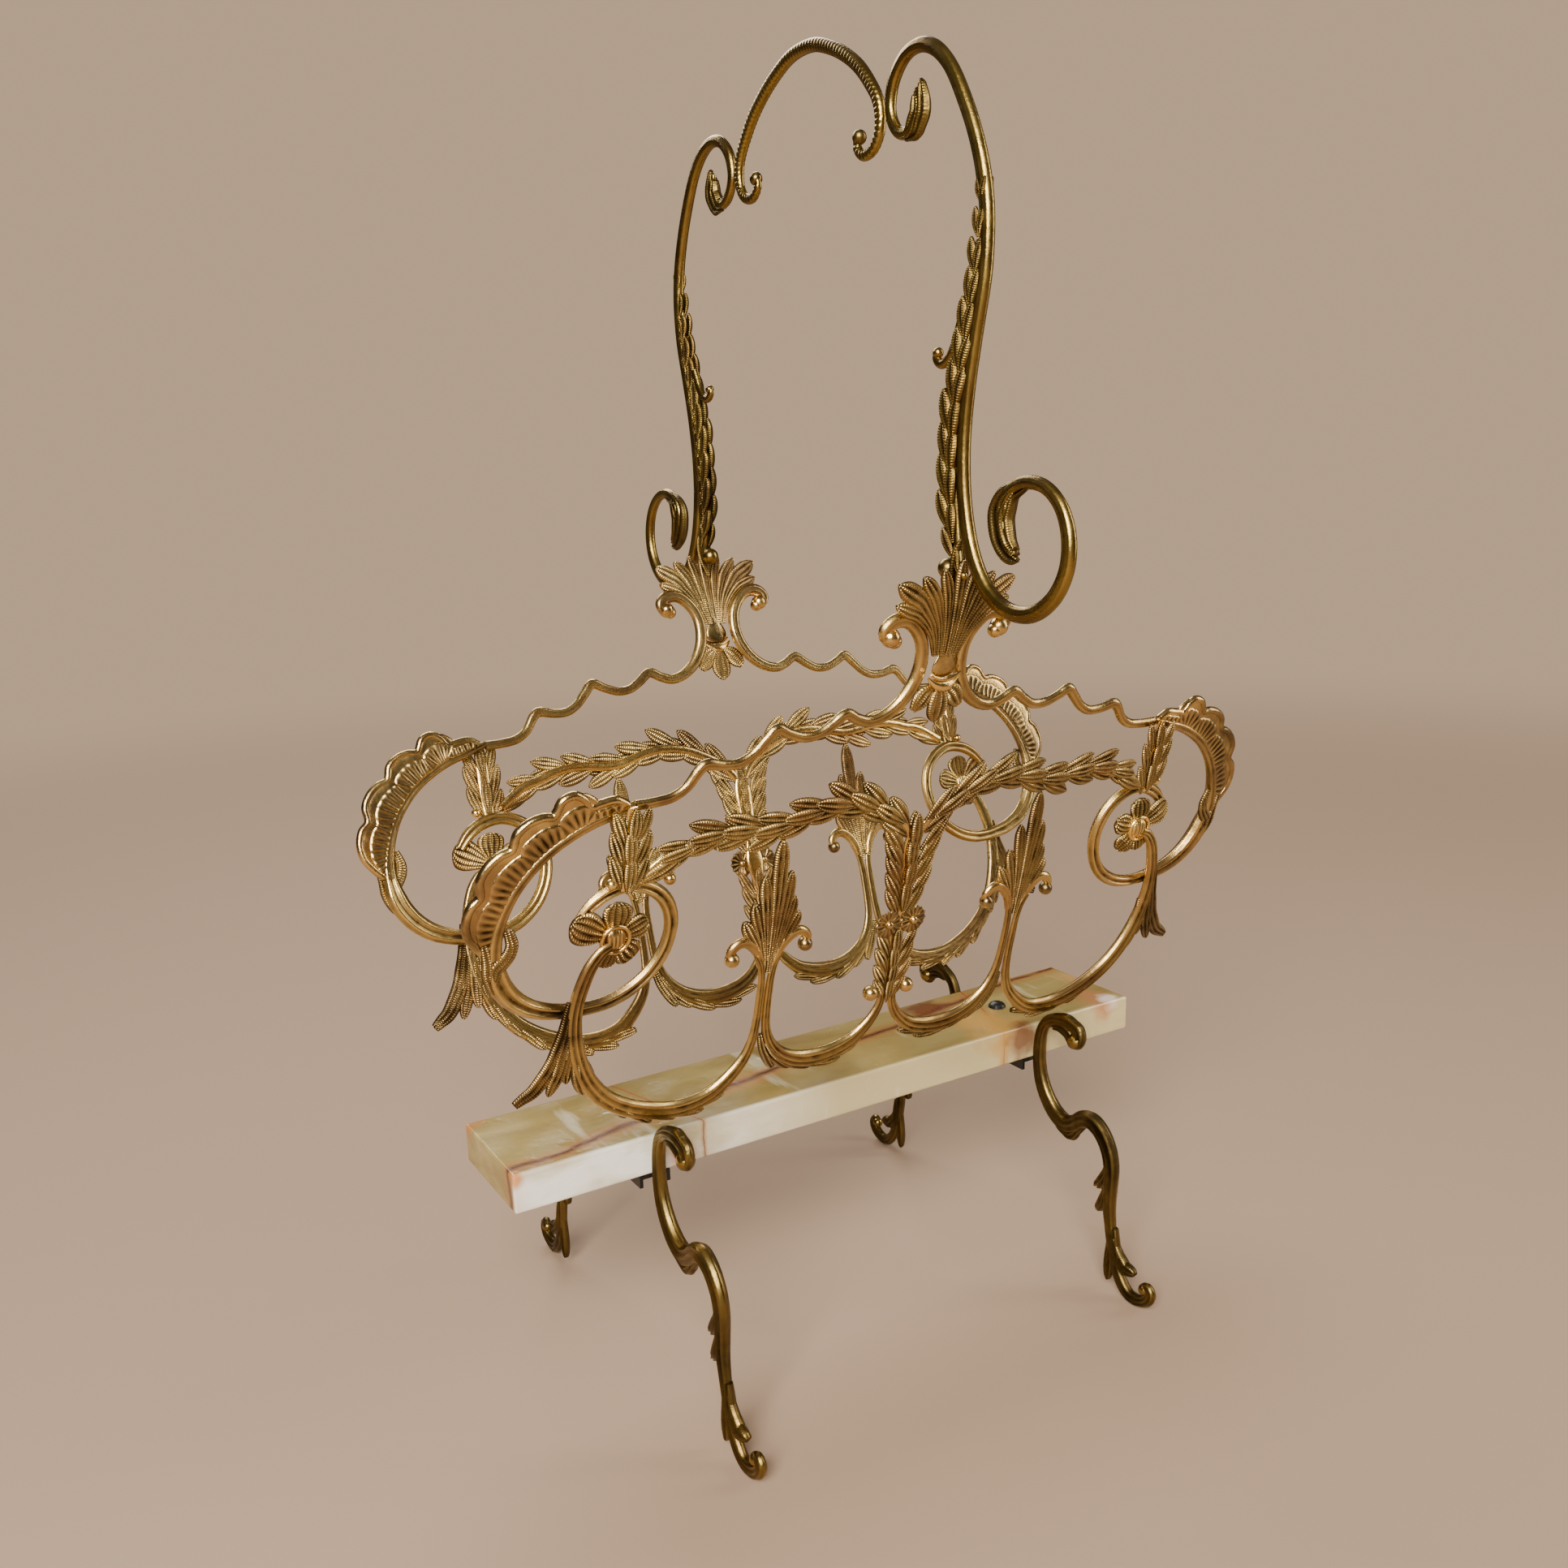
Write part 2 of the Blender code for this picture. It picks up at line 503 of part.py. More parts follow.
def build_straps():
    """Channel of folded sheet under the slab at each pair of legs, with its bolt and nut."""
    reach = SLAB_WIDTH / 2 - 0.5
    top = SLAB_BOTTOM - GAP
    for x, hand in ((-LEG_X, "left"), (LEG_X, "right")):
        strap = box("strap", (x - STRAP_WIDTH / 2, -reach, top - STRAP_DROP),
                    (x + STRAP_WIDTH / 2, reach, top))
        hollow = box("hollow", (x - STRAP_WIDTH / 2 + STRAP_SHEET, -reach - 5, top - STRAP_DROP - 5),
                     (x + STRAP_WIDTH / 2 - STRAP_SHEET, reach + 5, top - STRAP_SHEET))
        hole = cylinder("hole", BOLT_RADIUS + BOLT_CLEARANCE, top - 20, top + 5, (x, 0.0))
        strap = combine("DIFFERENCE", strap, [hollow, hole])
        publish(strap.data, f"strap_{hand}", STEEL)
        bpy.data.objects.remove(strap, do_unlink=True)

        washer_top = top - STRAP_SHEET - GAP
        nut_top = washer_top - WASHER_THICKNESS - GAP
        end = nut_top - NUT_HEIGHT - 2.0
        shank = cylinder("bolt", BOLT_RADIUS, end, SLAB_TOP + GAP + 1.0, (x, 0.0))
        head = ball("head", HEAD_RADIUS, (x, 0.0, SLAB_TOP + GAP), HEAD_HEIGHT / HEAD_RADIUS, 20)
        under = box("under", (x - 20, -20, SLAB_TOP - 20), (x + 20, 20, SLAB_TOP + GAP))
        head = combine("DIFFERENCE", head, [under])
        bolt = union(head, shank)
        publish(bolt.data, f"bolt_{hand}", STEEL)
        bpy.data.objects.remove(bolt, do_unlink=True)

        washer = cylinder("washer", WASHER_RADIUS, washer_top - WASHER_THICKNESS, washer_top, (x, 0.0))
        bore = cylinder("bore", BOLT_RADIUS + GAP, washer_top - 9, washer_top + 9, (x, 0.0))
        washer = combine("DIFFERENCE", washer, [bore])
        publish(washer.data, f"washer_{hand}", STEEL)
        bpy.data.objects.remove(washer, do_unlink=True)

        nut = cylinder("nut", NUT_RADIUS, nut_top - NUT_HEIGHT, nut_top, (x, 0.0), 6)
        bore = cylinder("bore", BOLT_RADIUS + GAP, nut_top - 20, nut_top + 9, (x, 0.0))
        nut = combine("DIFFERENCE", nut, [bore])
        publish(nut.data, f"nut_{hand}", STEEL)
        bpy.data.objects.remove(nut, do_unlink=True)


def leg_place(stations):
    """Leg stations moved to the slab's face and stretched down to the floor."""
    face = SLAB_WIDTH / 2 + LEG_TO_SLAB - 0.3
    drop = SLAB_BOTTOM / LEG_NOMINAL_DROP
    placed = []
    for out, height, half_width in stations:
        z = SLAB_BOTTOM + (height * drop if height < 0 else height)
        placed.append((face + out, z, half_width))
    return placed


def build_legs():
    shaft = rod("leg", leg_place(LEG))
    spurs = [rod("spur", leg_place(spur)) for spur in LEG_SPURS]
    leg = union(shaft, *spurs)
    floor = box("floor", (0, -50, -50), (200, 0, 50))
    leg = combine("DIFFERENCE", leg, [floor])
    leg.data.shade_smooth()
    for x, hand in ((-LEG_X, "left"), (LEG_X, "right")):
        for side, panel in ((-1, "front"), (1, "back")):
            publish(leg.data, f"leg_{panel}_{hand}", ANTIQUE, upright_frame(x, side))
    bpy.data.objects.remove(leg, do_unlink=True)


def handle_place(stations):
    """Handle stations moved with the screw point and stretched up to the handle's top."""
    out, height = panel_point(SCREW_V, 0.0)
    shift = out - 101.1
    rise = (HANDLE_TOP - height) / (HANDLE_NOMINAL_TOP - HANDLE_NOMINAL_SCREW)
    return [(x + shift, height + (z - HANDLE_NOMINAL_SCREW) * rise, r) for x, z, r in stations]


def foot_plate():
    """Flat leaf at the arm's foot that the screw pins to the back of the palmette."""
    half = [(0, 200.5), (3.4, 203), (4.4, 208), (4.0, 214), (2.6, 219), (0, 221)]
    outline = mirror_loop([(x, y * STRETCH_V) for x, y in half])
    hole = circle_loop((0.0, SCREW_V * STRETCH_V), SCREW_RADIUS + GAP)
    foot = plate("foot", [outline, hole], FOOT_HALF_DEPTH, FOOT_DEPTH)
    foot.data.transform(panel_frame(-1))
    return foot


def build_handle():
    arm = rod("arm", handle_place(ARM))
    strip = rod("strip", handle_place(STRIP))
    thorn = rod("thorn", handle_place(THORN))
    link = rod("link", handle_place([(107, 494, 3.2), (114, 497, 3.2)]))
    for piece in (arm, strip, thorn, link):
        piece.data.transform(upright_frame(0.0, -1))
    arm = union(arm, strip, thorn, link, foot_plate())
    arm.data.shade_smooth()
    publish(arm.data, "handle_arm_front", ANTIQUE)
    publish(arm.data, "handle_arm_back", ANTIQUE, Matrix.Rotation(pi, 4, "Z"))
    bpy.data.objects.remove(arm, do_unlink=True)

    half = handle_place(ARCH_HALF)
    shift = half[0][0]
    half = [(x - shift + shift * min(x0 / 50.0, 1.0), z, r)
            for (x, z, r), (x0, _, _) in zip(half, ARCH_HALF)]
    arch = rod("arch", mirrored(half[::-1]) + half[1:])
    publish(arch.data, "handle_arch", ANTIQUE, upright_frame(0.0, -1))
    bpy.data.objects.remove(arch, do_unlink=True)


def build_screws():
    """Ball-headed screw through each arm's foot and palmette, its tip showing outside."""
    v = SCREW_V * STRETCH_V
    seat = FOOT_DEPTH - FOOT_HALF_DEPTH - GAP
    centre = seat - BALL_RADIUS + 0.5
    head = ball("ball", BALL_RADIUS, (0.0, v, centre))
    flat = box("flat", (-20, v - 20, seat), (20, v + 20, seat + 20))
    head = combine("DIFFERENCE", head, [flat])
    shank = cylinder("shank", SCREW_RADIUS, centre, PALMETTE_TOP_FACE + 1.2, (0.0, v), 16)
    screw = union(head, shank)
    screw.data.shade_smooth()
    for side, panel in ((-1, "front"), (1, "back")):
        publish(screw.data, f"ball_screw_{panel}", ANTIQUE, panel_frame(side))
    bpy.data.objects.remove(screw, do_unlink=True)


clear_scene()
rack = new_collection("magazine_rack")
scratch = new_collection("cutters")
GILT = metal("gilt_brass", (0.56, 0.33, 0.10), 0.34)
ANTIQUE = metal("antique_brass", (0.25, 0.18, 0.07), 0.38)
STEEL = metal("dark_steel", (0.05, 0.05, 0.05), 0.5)
ONYX = metal("onyx", (0.66, 0.58, 0.36), 0.2, 0.0)

build_slab()
build_straps()
build_legs()
build_panels()
build_handle()
build_screws()
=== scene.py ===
# %% [markdown]
# # A gilt brass magazine rack on an onyx slab
# The real rack is a set of brass castings. Two lacy panels lean outwards over a slab of
# onyx, four bent legs carry the slab, and a tall scrolled handle joins the panels. This
# lesson rebuilds the look of each casting in the place that the CAD model gives it, so
# the first thing it does is load that model and count its nodes.

# %% Load the CAD model and count its nodes
import bmesh
import bpy
from math import cos, hypot, pi, radians, sin
from mathutils import Matrix, Vector


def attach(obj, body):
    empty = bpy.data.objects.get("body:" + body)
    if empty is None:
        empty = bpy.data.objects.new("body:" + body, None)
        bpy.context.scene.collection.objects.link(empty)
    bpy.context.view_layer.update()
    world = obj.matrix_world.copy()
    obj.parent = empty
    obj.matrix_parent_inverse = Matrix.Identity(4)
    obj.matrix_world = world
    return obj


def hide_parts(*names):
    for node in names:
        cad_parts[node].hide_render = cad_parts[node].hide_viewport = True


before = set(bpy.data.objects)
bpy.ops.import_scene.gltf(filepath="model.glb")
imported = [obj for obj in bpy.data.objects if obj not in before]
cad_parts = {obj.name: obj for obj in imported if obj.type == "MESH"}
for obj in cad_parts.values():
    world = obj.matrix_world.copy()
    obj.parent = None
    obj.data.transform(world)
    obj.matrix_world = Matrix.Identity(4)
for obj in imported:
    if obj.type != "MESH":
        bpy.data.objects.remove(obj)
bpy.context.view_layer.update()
MM = 0.001
print("CAD nodes:", len(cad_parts))

# %% [markdown]
# ## Helpers for node trees
# Geometry and materials are both made by node trees here. Writing the nodes in a script
# keeps every size in one place. A few small helpers are enough: one adds a node and
# wires it, four do sums with numbers and vectors, one starts a geometry tree with named
# inputs, and the others wrap steps that several trees share.


# %% Helpers that write nodes
def node(tree, kind, inputs=None, **options):
    """Add a node, set its options, then wire sockets or set plain values."""
    made = tree.nodes.new(kind)
    for key, value in options.items():
        setattr(made, key, value)
    for key, value in (inputs or {}).items():
        if isinstance(value, bpy.types.NodeSocket):
            tree.links.new(value, made.inputs[key])
        else:
            made.inputs[key].default_value = value
    return made


def calc(tree, operation, *values):
    return node(tree, "ShaderNodeMath", dict(enumerate(values)), operation=operation).outputs[0]


def times(tree, first, second):
    return calc(tree, "MULTIPLY", first, second)


def vector_calc(tree, operation, *values):
    return node(tree, "ShaderNodeVectorMath", dict(enumerate(values)), operation=operation).outputs[0]


def scaled(tree, vector, amount):
    return node(tree, "ShaderNodeVectorMath", {0: vector, "Scale": amount}, operation="SCALE").outputs[0]


def new_geometry_tree(name, sizes):
    """Start a geometry tree with a named input for each (label, socket kind, value)."""
    tree = bpy.data.node_groups.new(name, "GeometryNodeTree")
    tree.interface.new_socket("Geometry", in_out="INPUT", socket_type="NodeSocketGeometry")
    for label, kind, value in sizes:
        socket = tree.interface.new_socket(label, in_out="INPUT", socket_type="NodeSocket" + kind)
        if value is not None:
            socket.default_value = value
    tree.interface.new_socket("Geometry", in_out="OUTPUT", socket_type="NodeSocketGeometry")
    entry = tree.nodes.new("NodeGroupInput")
    return tree, entry.outputs, tree.nodes.new("NodeGroupOutput")


def read(tree, name, kind="FLOAT"):
    return node(tree, "GeometryNodeInputNamedAttribute", {"Name": name}, data_type=kind).outputs[0]


def store(tree, geometry, name, value, kind="FLOAT"):
    inputs = {"Geometry": geometry, "Name": name, "Value": value}
    return node(tree, "GeometryNodeStoreNamedAttribute", inputs, data_type=kind).outputs[0]


def with_material(tree, geometry, material):
    inputs = {"Geometry": geometry, "Material": material}
    return node(tree, "GeometryNodeSetMaterial", inputs).outputs[0]


def smooth_curve(tree, geometry):
    """Turn a chain of edges into a curve that runs through its points without corners."""
    curve = node(tree, "GeometryNodeMeshToCurve", {"Mesh": geometry}).outputs[0]
    return node(tree, "GeometryNodeCurveSplineType", {"Curve": curve}, spline_type="CATMULL_ROM").outputs[0]


def run_tree(obj, tree, sizes):
    """Evaluate a geometry tree on an object and hand back a plain mesh."""
    modifier = obj.modifiers.new(tree.name, "NODES")
    modifier.node_group = tree
    for item in tree.interface.items_tree:
        if item.item_type == "SOCKET" and item.in_out == "INPUT" and item.name in sizes:
            modifier[item.identifier] = sizes[item.name]
    graph = bpy.context.evaluated_depsgraph_get()
    mesh = bpy.data.meshes.new_from_object(obj.evaluated_get(graph), preserve_all_data_layers=True,
                                           depsgraph=graph)
    obj.modifiers.remove(modifier)
    return mesh


print("node helpers are ready")

# %% [markdown]
# ## One tree that casts every bar and leaf
# All the ornament on the real rack is drawn with one kind of line: a bar or a leaf with
# grooves along it, thicker or thinner as it goes. So each one is drawn as a stroke, a
# chain of points that carries its half width, its thickness, how many ridges it has and
# how deep its grooves are. It could be a bevelled curve, but a bevel has one fixed
# section. The tree below sweeps a circle along the stroke and then moves every point to
# the height that the ridges ask for. It also writes a "hollow" value, which the metal
# reads to darken the surface: dark patina in the grooves and between the ribs, and
# painted shade down the side walls of the hatched leaves, where the gaps between leaves
# fall into shade.

# %% The stroke tree
TINY = 0.00001
OUTWARDS = (0.0, 0.0, 1.0)
STROKE_VALUES = ("half_width", "front", "back", "ridges", "groove", "flat", "rib_pitch", "rib_depth",
                 "hatch", "tone", "ball")


def build_stroke_tree():
    tree, size, leave = new_geometry_tree("cast strokes", [
        ("Step", "Float", 0.001), ("Sides", "Int", 24), ("Material", "Material", None)])
    curve = smooth_curve(tree, size["Geometry"])
    curve = node(tree, "GeometryNodeResampleCurve", {"Curve": curve, "Length": size["Step"]},
                 mode="LENGTH").outputs[0]
    place = tree.nodes.new("GeometryNodeInputPosition").outputs[0]
    heading = tree.nodes.new("GeometryNodeInputTangent").outputs[0]
    run = tree.nodes.new("GeometryNodeSplineParameter").outputs["Length"]
    curve = store(tree, curve, "centre", place, "FLOAT_VECTOR")
    curve = store(tree, curve, "heading", heading, "FLOAT_VECTOR")
    curve = store(tree, curve, "along", run)
    ring = node(tree, "GeometryNodeCurvePrimitiveCircle", {"Resolution": size["Sides"], "Radius": 1.0},
                mode="RADIUS").outputs[0]
    ring = store(tree, ring, "section", place, "FLOAT_VECTOR")
    body = node(tree, "GeometryNodeCurveToMesh", {
        "Curve": curve, "Profile Curve": ring, "Fill Caps": True}).outputs[0]

    section = node(tree, "ShaderNodeSeparateXYZ", {0: read(tree, "section", "FLOAT_VECTOR")}).outputs
    across = section[0]
    reach = calc(tree, "ABSOLUTE", across)
    is_front = calc(tree, "GREATER_THAN", section[1], 0.0)
    front_thick = times(tree, read(tree, "front"), is_front)
    back_thick = times(tree, read(tree, "back"), calc(tree, "SUBTRACT", 1.0, is_front))
    thick = calc(tree, "ADD", front_thick, back_thick)
    drop = calc(tree, "POWER", reach, read(tree, "flat"))
    crown = calc(tree, "SQRT", calc(tree, "MAXIMUM", 0.0, calc(tree, "SUBTRACT", 1.0, drop)))
    turn = times(tree, times(tree, calc(tree, "ADD", across, 1.0), pi / 2), read(tree, "ridges"))
    valley = calc(tree, "POWER", calc(tree, "ABSOLUTE", calc(tree, "COSINE", turn)), 1.6)
    sunk = times(tree, read(tree, "groove"), valley)
    pitch = calc(tree, "MAXIMUM", read(tree, "rib_pitch"), 0.0001)
    wave = calc(tree, "COSINE", calc(tree, "DIVIDE", times(tree, read(tree, "along"), 2 * pi), pitch))
    middle = calc(tree, "SUBTRACT", 1.0, times(tree, reach, reach))
    rib = times(tree, calc(tree, "MULTIPLY_ADD", wave, 0.5, 0.5), middle)
    height = times(tree, times(tree, thick, crown), calc(tree, "SUBTRACT", 1.0, sunk))
    height = calc(tree, "SUBTRACT", height, times(tree, rib, read(tree, "rib_depth")))
    height = times(tree, calc(tree, "MAXIMUM", height, TINY), calc(tree, "SIGN", section[1]))

    side = vector_calc(tree, "CROSS_PRODUCT", OUTWARDS, read(tree, "heading", "FLOAT_VECTOR"))
    side = vector_calc(tree, "NORMALIZE", side)
    side = scaled(tree, side, times(tree, across, read(tree, "half_width")))
    lift = node(tree, "ShaderNodeCombineXYZ", {2: height}).outputs[0]
    offset = vector_calc(tree, "ADD", side, lift)
    target = vector_calc(tree, "ADD", read(tree, "centre", "FLOAT_VECTOR"), offset)
    rim = calc(tree, "SUBTRACT", 1.0, calc(tree, "POWER", reach, 8.0))
    has_ribs = calc(tree, "GREATER_THAN", read(tree, "rib_depth"), TINY)
    ribbed = times(tree, calc(tree, "POWER", rib, 2.0), has_ribs)
    # The "hollow" value: dark patina in the grooves and between the ribs.
    hollow = times(tree, calc(tree, "MAXIMUM", sunk, times(tree, ribbed, 0.75)), rim)
    # Painted shade: the side walls of hatched leaves are darkened, standing in for the shade in the gaps
    # between leaves.
    painted_wall_shade = times(tree, calc(tree, "POWER", reach, 12.0), read(tree, "hatch"))
    hollow = calc(tree, "MAXIMUM", hollow, painted_wall_shade)
    combed = times(tree, read(tree, "hatch"), calc(tree, "SUBTRACT", 1.0, valley))
    body = node(tree, "GeometryNodeSetPosition", {"Geometry": body, "Position": target}).outputs[0]
    body = store(tree, body, "hollow", hollow)
    body = store(tree, body, "combed", combed)

    ball = node(tree, "GeometryNodeMeshUVSphere", {"Segments": 20, "Rings": 12, "Radius": 1.0}).outputs[0]
    is_ball = node(tree, "FunctionNodeCompare", {0: read(tree, "ball"), 1: TINY},
                   operation="GREATER_THAN").outputs[0]
    seats = node(tree, "GeometryNodeMeshToPoints", {
        "Mesh": size["Geometry"], "Selection": is_ball}).outputs[0]
    balls = node(tree, "GeometryNodeInstanceOnPoints", {
        "Points": seats, "Instance": ball, "Scale": read(tree, "ball")}).outputs[0]
    balls = node(tree, "GeometryNodeRealizeInstances", {"Geometry": balls}).outputs[0]
    whole = node(tree, "GeometryNodeJoinGeometry")
    tree.links.new(balls, whole.inputs[0])
    tree.links.new(body, whole.inputs[0])
    smooth = node(tree, "GeometryNodeSetShadeSmooth", {"Geometry": whole.outputs[0]}).outputs[0]
    tree.links.new(with_material(tree, smooth, size["Material"]), leave.inputs[0])
    return tree


STROKE_TREE = build_stroke_tree()
print("stroke tree:", len(STROKE_TREE.nodes), "nodes")

# %% [markdown]
# ## A row of leaves
# Laurel swags on the panels, and the leafy strip up the handle, are the same leaf set
# again and again along a line. An array modifier could repeat it, but each leaf has to
# turn with the line and grow or shrink with it. This tree resamples the line at one leaf
# per pitch, turns each copy to the line's heading, splays it to one side, and shakes it a
# little with a fixed seed so that no two are quite alike.


# %% The leaf row tree
PAST_THE_END = 10.0


def build_leaf_row_tree():
    tree, size, leave = new_geometry_tree("leaf row", [
        ("Leaf", "Object", None), ("Pitch", "Float", 0.015), ("Start", "Float", 0.0),
        ("Splay", "Float", 0.4), ("Side Step", "Float", 0.0), ("Shake", "Float", 0.06),
        ("Seed", "Int", 4), ("Typical Half Width", "Float", 0.0034), ("Material", "Material", None)])
    trim = node(tree, "GeometryNodeTrimCurve", {
        "Curve": smooth_curve(tree, size["Geometry"]), 4: size["Start"], 5: PAST_THE_END}, mode="LENGTH")
    points = node(tree, "GeometryNodeResampleCurve", {"Curve": trim.outputs[0], "Length": size["Pitch"]},
                  mode="LENGTH").outputs[0]
    heading = tree.nodes.new("GeometryNodeInputTangent").outputs[0]
    side = vector_calc(tree, "CROSS_PRODUCT", OUTWARDS, heading)
    step = scaled(tree, side, times(tree, size["Side Step"], read(tree, "half_width")))
    facing = node(tree, "FunctionNodeAlignRotationToVector", {"Vector": heading}, axis="X",
                  pivot_axis="Z").outputs[0]
    shake = node(tree, "FunctionNodeRandomValue", {2: -1.0, 3: 1.0, "Seed": size["Seed"]},
                 data_type="FLOAT").outputs[1]
    swing = calc(tree, "MULTIPLY_ADD", shake, size["Shake"], size["Splay"])
    tilt = node(tree, "ShaderNodeCombineXYZ", {2: swing}).outputs[0]
    turned = node(tree, "FunctionNodeRotateRotation", {0: facing, 1: tilt},
                  rotation_space="LOCAL").outputs[0]
    points = node(tree, "GeometryNodeSetPosition", {"Geometry": points, "Offset": step}).outputs[0]
    leaf = node(tree, "GeometryNodeObjectInfo", {"Object": size["Leaf"]}).outputs["Geometry"]
    row = node(tree, "GeometryNodeInstanceOnPoints", {
        "Points": points, "Instance": leaf, "Rotation": turned, "Scale": read(tree, "half_width")}).outputs[0]
    row = node(tree, "GeometryNodeRealizeInstances", {"Geometry": row}).outputs[0]
    row = store(tree, row, "along", times(tree, read(tree, "along"), size["Typical Half Width"]))
    tree.links.new(with_material(tree, row, size["Material"]), leave.inputs[0])
    return tree


LEAF_ROW_TREE = build_leaf_row_tree()
print("leaf row tree:", len(LEAF_ROW_TREE.nodes), "nodes")

# %% [markdown]
# ## Effects that several finishes share
# Old gilt brass is not one colour. The high parts are rubbed bright, the hollows keep a
# brown bloom, and here and there a coppery or a grey green cloud sits on the metal. All
# the brass here ages in the same way and only the strength differs, so the ageing is a
# node group with named inputs. It reads the "hollow" value that the stroke tree left on
# the surface, which darkens the grooves with brown patina and the side walls of hatched
# leaves with painted shade, and puts out a colour and a roughness. A second group draws
# the fine tool marks that cross each leaf rib, and a third the grain of a sand casting.


# %% Shared finish groups
def new_finish_group(name, entries, exits):
    tree = bpy.data.node_groups.new(name, "ShaderNodeTree")
    for label, kind, value in entries:
        socket = tree.interface.new_socket(label, in_out="INPUT", socket_type="NodeSocket" + kind)
        socket.default_value = value
    for label, kind in exits:
        tree.interface.new_socket(label, in_out="OUTPUT", socket_type="NodeSocket" + kind)
    return tree, tree.nodes.new("NodeGroupInput").outputs, tree.nodes.new("NodeGroupOutput")


def surface_value(tree, name):
    return node(tree, "ShaderNodeAttribute", attribute_name=name, attribute_type="GEOMETRY").outputs["Fac"]


def object_place(tree):
    return tree.nodes.new("ShaderNodeTexCoord").outputs["Object"]


def noise(tree, place, scale, detail):
    return node(tree, "ShaderNodeTexNoise", {"Vector": place, "Scale": scale, "Detail": detail}).outputs[0]


def between(tree, value, low, high):
    """0 at one level of a value, 1 at another, and clamped outside them."""
    return node(tree, "ShaderNodeMapRange", {0: value, 1: low, 2: high}).outputs[0]


def cloud(tree, place, scale, detail, low, high):
    """Noise pushed towards 0 and 1 between two levels."""
    return between(tree, noise(tree, place, scale, detail), low, high)


def blend(tree, factor, first, second):
    return node(tree, "ShaderNodeMix", {0: factor, 6: first, 7: second}, data_type="RGBA").outputs[2]


def tinted(tree, mask, share, colour, tint):
    """Lay some of a tint over a colour where the mask is 1."""
    return blend(tree, times(tree, mask, share), colour, tint)


def new_material(name):
    material = bpy.data.materials.new(name)
    material.use_nodes = True
    return material, material.node_tree, material.node_tree.nodes["Principled BSDF"]


def build_ageing():
    tree, entry, leave = new_finish_group("aged brass", [
        ("Bright", "Color", (0.8, 0.5, 0.15, 1)), ("Coppery", "Color", (0.6, 0.3, 0.13, 1)),
        ("Brown", "Color", (0.12, 0.06, 0.03, 1)), ("Grey Green", "Color", (0.2, 0.18, 0.1, 1)),
        ("Clouds", "Float", 0.5), ("Hollows", "Float", 1.0), ("Polish", "Float", 0.28),
        ("Cuts", "Float", 0.0)],
        [("Colour", "Color"), ("Roughness", "Float")])
    place = object_place(tree)
    tone = surface_value(tree, "tone")
    hollow = surface_value(tree, "hollow")
    copper = times(tree, cloud(tree, place, 26.0, 3.0, 0.38, 0.66), entry["Clouds"])
    copper = calc(tree, "MAXIMUM", copper, times(tree, tone, 0.5))
    colour = blend(tree, copper, entry["Bright"], entry["Coppery"])
    moss = times(tree, cloud(tree, place, 13.0, 4.0, 0.5, 0.7), entry["Clouds"])
    dull = times(tree, cloud(tree, place, 31.0, 4.0, 0.24, 0.52), tone)
    colour = tinted(tree, calc(tree, "MAXIMUM", moss, dull), 0.85, colour, entry["Grey Green"])
    high = calc(tree, "MAXIMUM", 0.0, calc(tree, "MULTIPLY_ADD", hollow, -3.0, 1.0))
    rubbed = times(tree, cloud(tree, place, 70.0, 4.0, 0.46, 0.62), high)
    colour = tinted(tree, rubbed, 0.55, colour, entry["Bright"])
    speck = cloud(tree, place, 150.0, 4.0, 0.45, 0.75)
    # Darkening from the "hollow" value: brown patina in the grooves and between the ribs, and painted shade
    # down the side walls of hatched leaves.
    depth = times(tree, calc(tree, "POWER", hollow, 0.8), entry["Hollows"])
    dirt_and_shade = times(tree, depth, calc(tree, "MULTIPLY_ADD", speck, 0.35, 0.75))
    patch = times(tree, cloud(tree, place, 34.0, 5.0, 0.5, 0.75), tone)
    for source, share in ((patch, 0.8), (speck, 0.14), (entry["Cuts"], 0.3)):
        dirt_and_shade = calc(tree, "ADD", dirt_and_shade, times(tree, source, share))
    dirt_and_shade = node(tree, "ShaderNodeClamp", {0: dirt_and_shade, 1: 0.0, 2: 0.96}).outputs[0]
    colour = blend(tree, dirt_and_shade, colour, entry["Brown"])
    rough = calc(tree, "ADD", entry["Polish"], times(tree, dirt_and_shade, 0.26))
    rough = calc(tree, "ADD", rough, times(tree, speck, 0.08))
    for label, value in (("Colour", colour), ("Roughness", rough)):
        tree.links.new(value, leave.inputs[label])
    return tree


def build_tooling():
    tree, entry, leave = new_finish_group("chased hatching", [("Pitch", "Float", 0.00105)],
                                          [("Height", "Float"), ("Cuts", "Float")])
    run = times(tree, calc(tree, "DIVIDE", surface_value(tree, "along"), entry["Pitch"]), 2 * pi)
    line = calc(tree, "MULTIPLY_ADD", calc(tree, "SINE", run), 0.5, 0.5)
    combed = surface_value(tree, "combed")
    tree.links.new(times(tree, line, combed), leave.inputs["Height"])
    cuts = times(tree, calc(tree, "SUBTRACT", 1.0, line), combed)
    tree.links.new(cuts, leave.inputs["Cuts"])
    return tree


def build_grain():
    tree, entry, leave = new_finish_group("casting grain", [
        ("Coarse", "Float", 420.0), ("Fine", "Float", 1900.0)], [("Height", "Float")])
    place = object_place(tree)
    coarse = times(tree, noise(tree, place, entry["Coarse"], 3.0), 0.65)
    fine = times(tree, noise(tree, place, entry["Fine"], 2.0), 0.35)
    tree.links.new(calc(tree, "ADD", coarse, fine), leave.inputs["Height"])
    return tree


AGEING = build_ageing()
TOOLING = build_tooling()
GRAIN = build_grain()
print("finish groups:", AGEING.name, "/", TOOLING.name, "/", GRAIN.name)

# %% [markdown]
# ## The brass finishes
# The panels were gilded, so they are brighter and more golden than the handle and the
# legs, which are plain brass gone olive with age. Both finishes place the same groups with
# their own values, and both turn the tool marks and the grain into a bump, because marks
# under a tenth of a millimetre deep are too small to model.


